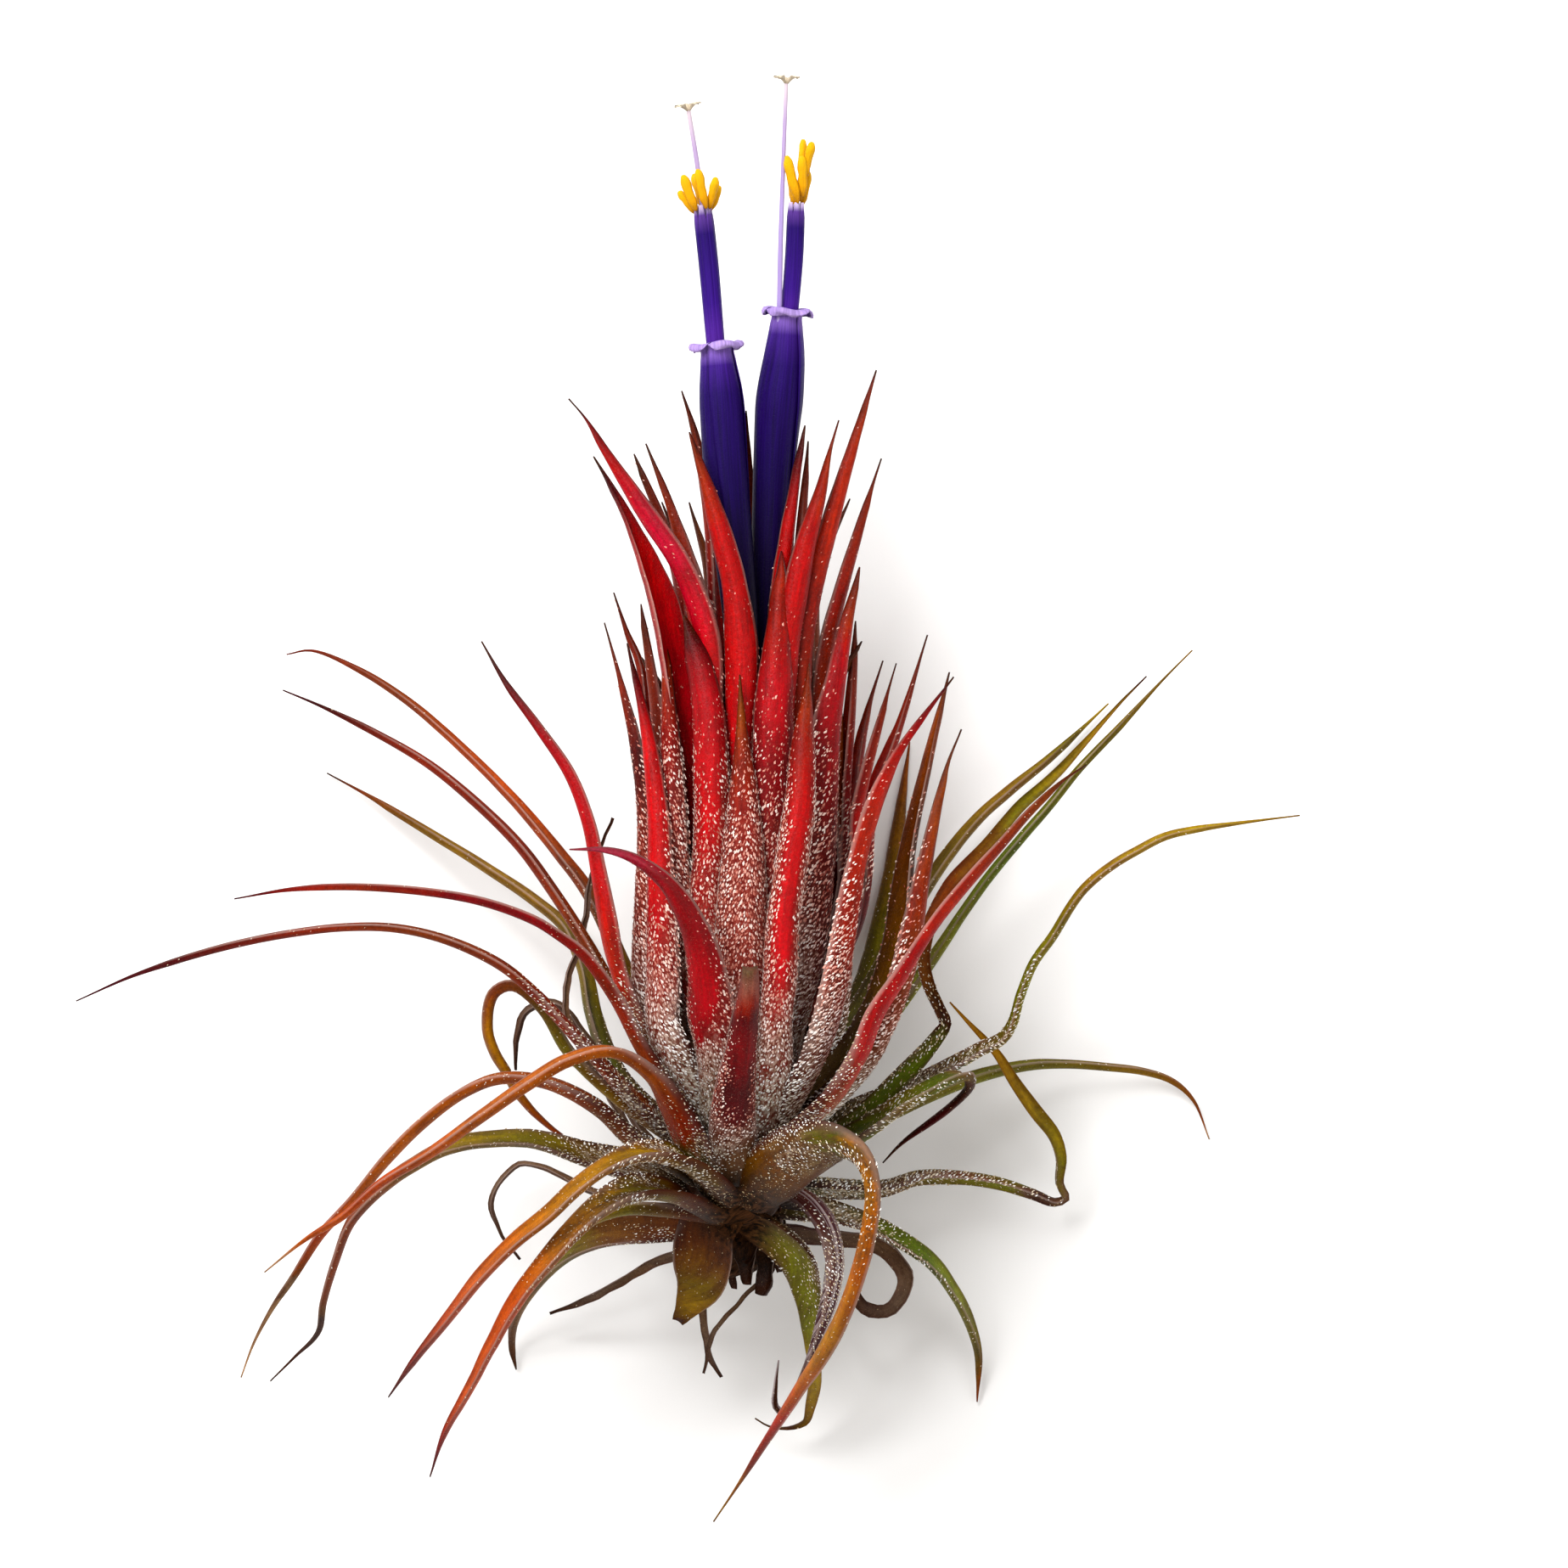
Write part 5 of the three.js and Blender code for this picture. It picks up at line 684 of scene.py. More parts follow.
def add_scales(piece, slot, grid, girth, share, s, dust, light, length, seed):
    """Strews small raised scales over a skin, each a closed grain of four faces"""
    rng = np.random.default_rng(seed)
    spots = rows_of_spots(grid, girth, rng)
    wrapped = np.concatenate([grid, grid[:, :1]], axis=1)
    value = dust[spots[:, 0].astype(int), spots[:, 2].astype(int)]
    kept = rng.random(len(spots)) < value * (COAT["size"] / length)
    value, spots = value[kept], spots[kept]
    count = len(spots)
    if not count:
        return
    i, j = spots[:, 0].astype(int), spots[:, 2].astype(int)
    v, u = spots[:, 1:2], spots[:, 3:4]
    a, b, c, d = wrapped[i, j], wrapped[i, j + 1], wrapped[i + 1, j + 1], wrapped[i + 1, j]
    spot = (a * (1 - u) + b * u) * (1 - v) + (d * (1 - u) + c * u) * v
    normal = unit(np.cross(c - a, d - b))
    along = unit((d + c) - (a + b))
    normal *= np.sign(np.einsum("ij,ij->i", normal, spot - grid.mean(axis=1)[i]))[:, None]
    along = unit(along - normal * np.einsum("ij,ij->i", along, normal)[:, None])
    outward = s[i, j]
    lean = rng.normal(0, SCALE_SCATTER, count)
    lean = lean + np.sign(outward) * (SCALE_LEAN + SCALE_LEAN_MORE * np.abs(outward))
    way = turned(along, np.cross(normal, along), lean[:, None])
    side = np.cross(normal, way)
    grown = SMALLEST + (1 - SMALLEST) * smooth(value, 0.06, 0.6)
    size = length * rng.lognormal(0, SCALE_VARIES, count) * grown
    wide, high = size * rng.uniform(*SCALE_WIDE, count), size * rng.uniform(*SCALE_HIGH, count)
    shift = rng.uniform(-SCALE_SHIFT, SCALE_SHIFT, count) * size
    low = np.full(count, -SCALE_SUNK)
    lifts = [low + 0.3 * high * rng.random(count) for _ in range(2)]
    ends = [(-size / 2, 0 * size, low), (size / 2, 0 * size, high)]
    corners = ends + [(shift, -wide, lifts[0]), (-shift, wide, lifts[1])]
    points = np.stack([spot + way * x[:, None] + side * y[:, None] + normal * z[:, None]
                       for x, y, z in corners], axis=1)
    k = np.arange(count)[:, None] * 4
    faces = np.vstack([k + [0, 2, 1], k + [0, 1, 3], k + [0, 3, 2], k + [1, 2, 3]])
    # Scales are paler toward the edges, and darker near the hub as painted shade
    pale = (rng.random(count) * (0.48 + 0.36 * smooth(value, 0.05, 0.6)) + 0.2 * outward ** 2) * light[i, j]
    tone = np.floor(np.clip(pale, 0, 0.99) * TONES) / TONES
    piece.add(points.reshape(-1, 3), [faces], slot, smooth_faces=False, tone=np.repeat(tone, 4),
              leaf_share=np.repeat(share[i, j], 4))


def rgba(colour):
    """Four linear numbers from the six digits of a colour in daylight, or from three linear numbers"""
    if isinstance(colour, str):
        raw = [int(colour[k:k + 2], 16) / 255 for k in (0, 2, 4)]
        colour = [v / 12.92 if v <= 0.04045 else ((v + 0.055) / 1.055) ** 2.4 for v in raw]
    return (*colour, 1.0)


class Nodes:
    """Short ways to add and link shader nodes"""

    def __init__(self, name):
        self.material = bpy.data.materials.new(name)
        self.material.use_nodes = True
        self.tree = self.material.node_tree
        self.tree.nodes.clear()
        self.surface = self.tree.nodes.new("ShaderNodeBsdfPrincipled")
        out = self.tree.nodes.new("ShaderNodeOutputMaterial")
        self.tree.links.new(self.surface.outputs[0], out.inputs[0])

    def feed(self, node, inputs):
        """Links the inputs of a node, or sets those that are the same all over"""
        for key, value in inputs.items():
            if isinstance(value, bpy.types.NodeSocket):
                self.tree.links.new(value, node.inputs[key])
            else:
                node.inputs[key].default_value = value

    def add(self, kind, inputs, output=0, **settings):
        node = self.tree.nodes.new("ShaderNode" + kind)
        for key, value in settings.items():
            setattr(node, key, value)
        self.feed(node, inputs)
        return node.outputs[output]

    def attribute(self, name, output="Fac"):
        return self.add("Attribute", {}, output, attribute_name=name)

    def maths(self, operation, a, b, clamp=False):
        return self.add("Math", {0: a, 1: b}, operation=operation, use_clamp=clamp)

    def stretched(self, vector, by):
        return self.add("VectorMath", {0: vector, 1: by}, operation="MULTIPLY")

    def noise(self, vector, scale, detail=3.0, roughness=0.55, stretch=None):
        vector = self.stretched(vector, stretch) if stretch else vector
        inputs = {"Vector": vector, "Scale": scale, "Detail": detail, "Roughness": roughness}
        return self.add("TexNoise", inputs, "Fac")

    def cells(self, vector, scale):
        distance = self.add("TexVoronoi", {"Vector": vector, "Scale": scale}, "Distance")
        return distance, distance.node.outputs["Color"]

    def ramp(self, value, stops):
        colour = self.add("ValToRGB", {0: value}, "Color")
        elements = colour.node.color_ramp.elements
        while len(elements) < len(stops):
            elements.new(0.5)
        for element, (place, stop) in zip(elements, stops):
            element.position = place
            element.color = rgba(stop)
        return colour

    def mix(self, factor, a, b, blend="MIX"):
        a, b = (rgba(v) if isinstance(v, (str, tuple)) else v for v in (a, b))
        return self.add("Mix", {0: factor, 6: a, 7: b}, 2, data_type="RGBA", blend_type=blend)

    def times(self, colour, by, *stops):
        """The colour times a ramp of factors"""
        return self.mix(1.0, colour, self.ramp(by, stops) if stops else by, "MULTIPLY")

    def range(self, value, low, high, to_low=0.0, to_high=1.0):
        return self.add("MapRange", {0: value, 1: low, 2: high, 3: to_low, 4: to_high})

    def finish(self, colour, roughness, specular, height=None, distance=0.0):
        """Feeds the surface, with bumps as high as distance, and gives the material"""
        inputs = {"Base Color": colour, "Roughness": roughness, "Specular IOR Level": specular}
        self.feed(self.surface, inputs)
        if height:
            bump = self.add("Bump", {"Height": height, "Strength": 0.5, "Distance": distance})
            self.feed(self.surface, {"Normal": bump})
        return self.material


# Ramps of colours in the skins: grey frost at the root and red frost above, flat scales, and brown stains
# with painted shade of the hollow at the hub
GREY_FROST = (0.4, "3c2414"), (0.52, "8e7c66"), (0.6, "cfc8ba")
RED_FROST = (0.38, "4c0c08"), (0.64, "94463a")
FLAT_SCALES = (0.1, "84403a"), (0.5, "ac746c"), (0.9, "dcbcb4")
HUB_STAINS_AND_SHADE = (0.4, "120904"), (0.65, "583418")
GRAIN, GROOVE, PIT, RIM_BELOW, RIM_ABOVE = "e8b8a8", "b4a4a4", "4a3018", "3c120a", "e8cdc0"


def leaf_skin(name, text, pits=0.0, grooves=0.0, foot=0.0, vivid=1.08):
    """Satin skin with colours along the leaf, grain, pale edges, and flat scales where its coat is dense"""
    n = Nodes(name)
    place = n.attribute("leaf_place", "Vector")
    share, dust = n.attribute("leaf_share"), n.attribute("leaf_dust")
    cloud = n.noise(place, 0.9, stretch=(1, 0.3, 1))
    streak = n.noise(place, 1.0, 2.0, stretch=(3.6, 0.16, 1))
    mottle = n.noise(place, 2.6, 4.0, 0.7)
    cloudy = n.noise(place, 2.2, 4.0, 0.65, stretch=(1, 0.55, 1))
    stops = [part.split() for part in text.split(", ")]
    shifted = n.maths("ADD", share, n.range(cloud, 0.3, 0.7, -0.035, 0.035), clamp=True)
    colour = n.ramp(shifted, [(int(at) / 100, PALETTE[hue]) for hue, at in stops])
    # Streaks, clouds and mottles darken and lighten it, and small pale cells grain it
    colour = n.times(colour, streak, (0.3, (0.76, 0.72, 0.72)), (0.7, (1.12, 1.1, 1.08)))
    colour = n.times(colour, cloud, (0.3, (0.66, 0.58, 0.58)), (0.6, (1.06, 1.04, 1.02)))
    colour = n.times(colour, mottle, (0.32, (0.72, 0.66, 0.64)), (0.68, (1.14, 1.12, 1.1)))
    grain, grain_cell = n.cells(place, 6.5)
    dot = n.maths("MULTIPLY", n.range(grain, 0.18, 0.42, 1.0, 0.0), n.range(grain_cell, 0.2, 0.9, 0.0, 0.2))
    colour = n.mix(dot, colour, n.mix(0.55, colour, GRAIN))
    colour = n.add("HueSaturation", {"Color": colour, "Saturation": vivid, "Value": 0.98})
    # Darker edges, deeper red margins with painted shade of the leaf's curve; a darker ground under dense
    # scales, painted shade of the gaps between them; and frost over it
    colour = n.times(colour, n.attribute("leaf_side"), (0.35, (1, 1, 1)), (0.95, (0.72, 0.6, 0.62)))
    colour = n.mix(n.range(dust, 0.15, 0.9), colour, n.times(colour, (0.7, 0.42, 0.4)))
    upper = n.range(share, FROST_SHARE - 0.12, FROST_SHARE + 0.12)
    frost = n.mix(upper, n.ramp(cloudy, GREY_FROST), n.ramp(cloudy, RED_FROST))
    colour = n.mix(n.range(dust, 0.5, 1.1, 0.0, 0.6), colour, frost)
    if grooves:
        groove = n.noise(place, 1.0, 1.0, stretch=(2.4, 0.05, 1))
        colour = n.mix(n.range(groove, 0.46, 0.6, 0.0, 0.7 * grooves), colour, GROOVE)
    if pits:
        pit = n.noise(place, 1.5, 3.0, 0.6, stretch=(1, 0.7, 1))
        mask = n.maths("MULTIPLY", n.range(pit, 0.50, 0.56, 0.0, pits), n.range(dust, 0.1, 0.5, 0.0, 0.85))
        colour = n.mix(mask, colour, PIT)
    # Scales that lie flat, pale rims, painted shade at the clasped foot, and brown stain with painted shade
    # at the hub
    distance, cell = n.cells(n.stretched(place, (1, 0.58, 1)), 4.6)
    within = n.maths("SUBTRACT", n.range(dust, 0.0, 1.2, 0.06, 0.30), distance)
    lone = n.maths("MULTIPLY", within, 9.0, clamp=True)
    flat = n.maths("MULTIPLY", lone, n.range(dust, 0.02, 0.5, 0.0, 0.6))
    colour = n.mix(flat, colour, n.ramp(cell, FLAT_SCALES))
    rim = n.maths("MULTIPLY", n.attribute("leaf_rim"), n.range(share, 0.2, 0.4, 0.9, 0.5))
    colour = n.mix(rim, colour, n.mix(n.range(share, 0.2, 0.4), RIM_BELOW, n.mix(0.6, colour, RIM_ABOVE)))
    # Painted shade of the crevice where the leaf is clasped, darkest at its root
    if foot:
        colour = n.times(colour, n.range(share, foot * 0.3, foot, 0.2, 1.0))
    # Near the hub the skin takes a brown stain that is also painted shade of the hollow there
    hub = n.range(n.attribute("leaf_hub"), 0.0, 1.0, 1.15, 0.0)
    hub_stain_and_shade = n.maths("MULTIPLY", hub, n.range(cloudy, 0.4, 0.6, 1.0, 0.8), clamp=True)
    colour = n.mix(hub_stain_and_shade, colour, n.ramp(cloudy, HUB_STAINS_AND_SHADE))
    roughness = n.maths("MAXIMUM", n.range(dust, 0.05, 0.9, 0.38, 0.72), hub_stain_and_shade)
    grainy = n.maths("ADD", n.range(grain, 0.1, 0.4, 0.6, 0.0), mottle)
    return n.finish(colour, roughness, 0.1, n.maths("ADD", n.maths("MULTIPLY", lone, 0.7), grainy), 0.00016)


def scale_material(name, root_tones, upper_tones):
    """Scales whose tones are one set near the leaf's root and another above"""
    n = Nodes(name)
    tone = n.attribute("tone")
    ramps = [n.ramp(tone, [(k / len(tones), hue) for k, hue in enumerate(tones)])
             for tones in (root_tones, upper_tones)]
    upper = n.range(n.attribute("leaf_share"), FROST_SHARE - 0.1, FROST_SHARE + 0.1)
    return n.finish(n.mix(upper, *ramps), n.range(tone, 0.0, 1.0, 0.6, 0.35), 0.3)


def petal_skin(name, stops, streaks, relief):
    """Velvety skin with fine veins along it"""
    n = Nodes(name)
    place = n.attribute("leaf_place", "Vector")
    vein = n.noise(place, 1.0, 3.0, stretch=(5.0, 0.12, 1))
    colour = n.ramp(n.attribute("leaf_share"), [(at / 100, hue) for hue, at in stops.items()])
    colour = n.times(colour, vein, (0.3, (1 - streaks,) * 3), (0.7, (1 + streaks,) * 3))
    roughness = n.range(n.noise(place, 6.0), 0.3, 0.7, 0.38, 0.55)
    return n.finish(colour, roughness, 0.06, n.maths("ADD", vein, n.noise(place, 9.0, 2.0)), relief)


WARM_TONES = ("8a6c44", "c4ac84", "e4d6bc", "f6f0e2", "ffffff")
CREAM_TONES = ("9c8e78", "d0c6b6", "ece8e0", "fbfaf6", "ffffff")
ROSY_TONES = ("963c30", "c0705f", "d89a8a", "eac4b6", "fdeae0")
silver_scales = scale_material("silver_scales", CREAM_TONES, ROSY_TONES)
pale_scales = scale_material("pale_scales", WARM_TONES, WARM_TONES)


def finish(piece, node):
    """Lets a finished piece stand for its node: hangs it under the root body and hides the node's imported
    part
    """
    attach(piece, "root")
    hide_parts(node)


SCALE_SEEDS = 900  # from a leaf's seed to that of its scales
# Seeds of the leaves, as (first, step)
OWN_SEEDS, DEEP_SEEDS, FAR_SEEDS = (3, 11), (700, 13), (1100, 13)
DRIED_SEEDS, BASE_SEEDS = (1500, 17), (1800, 17)
HUB_LEAST = 0.12  # the share of scales that is left at the hub
RIM_FROM, RIM_LOWER = 0.95, 0.12  # where a pale edge begins across a leaf, and how much earlier at its root


def seeded(leaves, seeds):
    """Each leaf with its own seed"""
    for k, leaf in enumerate(leaves):
        yield seeds[0] + k * seeds[1], leaf


def add_leaf(piece, line, coat, seed, face=None, skin_slot=0, **shape):
    """Adds a leaf with its scales, whose material is the piece's second one"""
    grid, place, share, s, inner = leaf_grid(line, seed, face, **shape)
    # How much stain and painted shade the skin and its scales get near the hub
    light = hub_light(grid, HUB_CLEAR)
    scaled = HUB_LEAST + (1 - HUB_LEAST) * hub_light(grid, HUB_SCALED)
    dust = coat_density(coat, share, s, inner, place) * scaled
    side = np.abs(s)
    rim = smooth(side, RIM_FROM - RIM_LOWER * (1 - smooth(share, 0.2, 0.35)), 1.0)
    rim = rim * (1 - smooth(share, 0.7, 0.95))
    add_tube(piece, grid, skin_slot, leaf_place=place, leaf_share=share, leaf_dust=dust, leaf_rim=rim,
             leaf_side=side, leaf_hub=light)
    add_scales(piece, 1, grid, place[..., 0], share, s, dust, light, coat.size, seed + SCALE_SEEDS)


# The leaves that have a node each
for seed, (node, (coat_name, skin, line, *face)) in seeded(LEAVES.items(), OWN_SEEDS):
    look = COATS[coat_name]
    shade = (OUTER_SHADED_FOOT, OUTER_VIVID) if node.startswith("outer") else (ROSETTE_SHADED_FOOT, ROSETTE_VIVID)
    piece = Piece(leaf_skin(f"{node}_skin", skin, look.pits, look.grooves, *shade),
                  pale_scales if look.pale else silver_scales)
    add_leaf(piece, line, look, seed, *face)
    finish(piece.build(f"{node}_scaled"), node)


# The core: the stem's foot, the leaves deep in the rosette and those on its far side
CORE = [(-43, 2), (-42.2, 3.4), (-40, 4.8), (-36, 6), (-31, 6.8), (-22, 6.6), (-12, 5.4), (0, 3.6), (6, 1.6)]
BACK_RINGS = [
    dict(count=7, first=192, last=348, radius=11.4, top=17, spread=2.25, width=4),
    dict(count=6, first=200, last=340, radius=8.6, top=29, spread=3.25, width=3.4),
]
# Far leaves, as (y, share of the radius, share of the width), and above as shares of the tip's y
BACK_LOWER = [(-32, 0.5, 0.8), (-22, 0.86, 1), (-8, 0.86, 0.95)]
BACK_UPPER = [(0.4, 0.78, 0.7), (0.75, 0.8, 0.4)]
BACK_TIP_SHARE, BACK_TIP_WIDTH, BACK_SCATTER, BACK_SEED = 0.8, 0.6, 5, 7
DRAW_FACTOR, DRAW_MODULUS = 16807, 2147483647


def back_lines():
    """The far leaves' lines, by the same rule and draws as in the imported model"""
    state = BACK_SEED
    for ring in BACK_RINGS:
        r, w = ring["radius"], ring["width"]
        for k in range(ring["count"]):
            angle = math.radians(ring["first"] + (ring["last"] - ring["first"]) * k / (ring["count"] - 1))
            state = state * DRAW_FACTOR % DRAW_MODULUS
            tip = ring["top"] + BACK_SCATTER * (state / DRAW_MODULUS - 0.5)
            shares = BACK_LOWER + [(tip * t, a, b) for t, a, b in BACK_UPPER]
            rows = [(y, r * a, w * b) for y, a, b in shares]
            rows.append((tip, r * BACK_TIP_SHARE + ring["spread"], BACK_TIP_WIDTH))
            yield [(axis_at(y)[0] + math.cos(angle) * out, y, axis_at(y)[2] + math.sin(angle) * out, width)
                   for y, out, width in rows]


core = Piece(leaf_skin("core_leaf_skin", "taupe 0, rose 20, wine 35, red 60, brick 85, umber 100"),
             silver_scales,
             leaf_skin("core_back_skin", "taupe 0, khaki 20, rosewood 40, brick 60, rust 84, umber 100"),
             leaf_skin("core_stem_skin", "umber 0, drab 30, wine 60, wine 100"))
grid, place, share = round_grid([(*axis_at(y), r) for y, r in CORE], 36, 1.0,
                                lambda a, t: 1 + 0.05 * np.sin(7 * a + 9 * t))
add_tube(core, grid, 3, leaf_place=place, leaf_share=share, leaf_dust=0.4,
         leaf_hub=hub_light(grid, HUB_CLEAR))
for seed, line in seeded(CORE_LEAVES, DEEP_SEEDS):
    add_leaf(core, line, COATS["deep"], seed)
for seed, line in seeded(back_lines(), FAR_SEEDS):
    add_leaf(core, line, COATS["far"], seed, skin_slot=2)
finish(core.build("rosette_core"), "core")


# The collar of old leaf bases with its dried leaves
COLLAR = [(-48, 1.6), (-47.2, 2.8), (-44, 4.2), (-40, 5), (-36, 4)]
COLLAR_X, COLLAR_Z = 5, 16
DRIED_THIN, DRIED_LEAST = 0.8, 0.5  # how wide a dried leaf is against its row, and at least
COLLAR_ROUGH, COLLAR_GRAIN, COLLAR_SEED = 0.35, 1.3, 60
BASE_COUNT, BASE_WIDTH, BASE_SEED = 19, 3.4, 11
BASE_LINE = [(-41, 3.2, 1.0), (-44.5, 4.4, 0.9), (-48.0, 5.0, 0.34)]  # y, distance out, share of the width
BASE_STRAY = (2.2, 1.32)  # how far a base's tip strays, along and out
# The old bases' near-black skin is their dark brown with painted shade of the hollow between them; the
# collar's tube takes nearly the full stain and painted shade of the hub
collar = Piece(leaf_skin("dried_skin", "umber 0, drab 25, dry 50, drab 75, umber 100"), pale_scales,
               leaf_skin("dead_base_skin", "black 0, umber 40, black 70, umber 100", pits=0.6))
grid, place, share = round_grid([(COLLAR_X, y, COLLAR_Z, r) for y, r in COLLAR], 40, 0.5)
grid = grid + crumpled(grid, COLLAR_SEED, COLLAR_GRAIN) * COLLAR_ROUGH
add_tube(collar, grid, 2, leaf_place=place, leaf_share=share, leaf_dust=0.25, leaf_hub=0.15)
for seed, line in seeded(DRIED_LEAVES, DRIED_SEEDS):
    thinner = [(*p[:3], max(DRIED_LEAST, p[3] * DRIED_THIN)) for p in line]
    add_leaf(collar, thinner, COATS["dry"], seed, crumple=0.16, sheath=1.0, tip=0.3)
rng = np.random.default_rng(BASE_SEED)
for seed, k in seeded(range(BASE_COUNT), BASE_SEEDS):
    angle = TURN * (k + rng.uniform(-0.3, 0.3)) / BASE_COUNT
    stray = rng.uniform(-1, 1, 2) * BASE_STRAY
    skew, width = rng.uniform(-0.3, 0.3), BASE_WIDTH * rng.uniform(0.6, 1.2)
    line = []
    for step, (y, out, part) in enumerate(BASE_LINE):
        y, out = (y, out) if step < 2 else (y, out) + stray
        turn = angle + skew * step
        line.append((COLLAR_X + math.cos(turn) * out, y, COLLAR_Z + math.sin(turn) * out, width * part))
    add_leaf(collar, line, COATS["dry"], seed, skin_slot=2, crumple=0.45, sheath=1.0, tip=0.5)
finish(collar.build("dried_collar"), "dry_collar")


# Flowers: centre lines as (x, y, z, radius), and anthers as (x, y, z) of their two ends
FLOWERS = {
    "left": dict(
        corolla=[(6.3, 7, 26.4, 1.1), (5.3, 19, 27.2, 1.75), (3.9, 33, 27.2, 2.2), (3.4, 40.7, 27.1, 2.2),
                 (3, 45.2, 27, 1.6)],
        stamens=[(4.1, 31, 27.2, 0.95), (3.4, 40.7, 27.1, 0.95), (2.8, 46.7, 27, 1.05), (2.2, 53.6, 27, 1.15),
                 (1.5, 60.2, 27, 1.15)],
        style=[(4.2, 30, 27.2), (3.4, 40.7, 27.1), (2.2, 53.6, 27), (1.1, 63.5, 27), (0.1, 69.8, 27.2)],
        anthers=[(0.9, 59.6, 27.9, -0.5, 63.2, 28.3), (1.9, 59.8, 28.2, 1.0, 63.8, 28.6),
                 (2.2, 59.8, 27.6, 2.9, 63.0, 27.9), (0.8, 59.4, 27.0, -0.9, 61.6, 27.2),
                 (1.6, 59.6, 26.2, 0.6, 63.4, 25.8), (2.3, 59.6, 26.6, 3.2, 62.2, 26.0)],
        turn=0.5,
    ),
    "right": dict(
        corolla=[(7.1, 7, 23.2, 1.1), (8.1, 19, 23.8, 1.75), (8.7, 33, 24.6, 2.05), (9.3, 40.7, 25, 2.45),
                 (9.8, 45, 25.2, 2.05), (10.05, 48.7, 25.3, 1.5)],
        stamens=[(8.9, 35, 24.7, 0.95), (9.8, 45, 25.2, 0.95), (10.4, 50.4, 25.4, 1),
                 (10.8, 55.3, 25.5, 1.05), (11, 60.5, 25.6, 1)],
        style=[(8.8, 34, 25.4), (9.2, 43, 26.2), (9.3, 50, 26.4), (9.4, 56, 26.4), (9.7, 64.8, 26.2),
               (10, 72.6, 26)],
        anthers=[(11.2, 60.4, 26.4, 10.0, 65.2, 26.8), (11.7, 61.0, 26.2, 11.6, 65.2, 26.6),
                 (11.8, 62.8, 25.8, 12.6, 66.6, 26.4), (11.4, 60.6, 25.2, 11.7, 66.9, 25.4),
                 (10.8, 60.0, 24.9, 10.4, 63.6, 24.4), (11.6, 60.2, 24.8, 12.2, 63.8, 24.2)],
        turn=1.2,
    ),
}
STYLE_RADII = (0.3, 0.3, 0.27, 0.25, 0.22, 0.2)
ANTHER_RADII = [(0.0, 0.12), (0.1, 0.3), (0.3, 0.44), (0.55, 0.4), (0.8, 0.5), (0.94, 0.36), (1.0, 0.12)]
# The petals' lip, as (how far up, how far out) from the neck
LIP_PATH = [(0.35, 0.02), (0.7, 0.12), (1.0, 0.36), (1.12, 0.7), (1.02, 1.0), (0.72, 1.12), (0.42, 1.06)]
PETAL_SPAN = math.pi / 3 + 0.3  # half the angle that a petal covers
PETAL_TWIST, PETAL_NARROWING = 0.35, 0.42
PETAL_LAP, PETAL_FOLD, LIP_RUFFLE, LIP_CURL = 0.13, 0.05, 0.16, 0.2
PETAL_THICK, STIGMA_THICK = 0.14, 0.12
FILAMENT_RING, FILAMENT_WIDE, FILAMENT_DEEP, FILAMENT_TURN = 0.66, 0.50, 0.26, 0.25
ANTHER_GROOVE, ANTHER_ROUGH = 0.16, 0.05
STIGMA_FIRST, STIGMA_REACH, STIGMA_RISE = 0.12, 1.0, 0.9
STIGMA_DROOP, STIGMA_WAVE, STIGMA_TURN = 0.25, 0.12, 0.4

# Colours along the flowers in hundredths, how strong their veins are, and how high their grain in metres
violet = petal_skin("petal_skin", {"0a001c": 0, "0c002a": 40, "12013e": 60, "1c0450": 84, "30126a": 91,
                                   "7454a8": 94.5, "a88ecc": 100}, 0.35, 0.00012)
filament = petal_skin("filament_skin", {"a088c4": 0, "7a54aa": 40, "4c2088": 50, "2e0c70": 66, "20085a": 90,
                                        "503080": 96.5, "c8b6d8": 100}, 0.3, 0.0001)
pollen = petal_skin("anther_skin", {"a86c08": 0, "dc9a06": 30, "e6b010": 100}, 0.15, 0.00035)
style_skin = petal_skin("style_skin", {"8f78b8": 0, "a08cc0": 70, "a892b8": 90, "c8b8c0": 100}, 0.1, 0.00005)
stigma_skin = petal_skin("stigma_skin", {"b8a890": 0, "d8cbb4": 100}, 0.12, 0.00015)


def shell(piece, sheet, outward, thick, slot=0, **values):
    """Adds a closed thin body: the sheet and its copy moved in by thick"""
    def both(a, b):
        return np.concatenate([a, b[:, ::-1]], axis=1)

    wide = {k: np.broadcast_to(v, sheet.shape[:2] + v.shape[2:]) for k, v in values.items()}
    add_tube(piece, both(sheet, sheet - outward * thick), slot, **{k: both(v, v) for k, v in wide.items()})


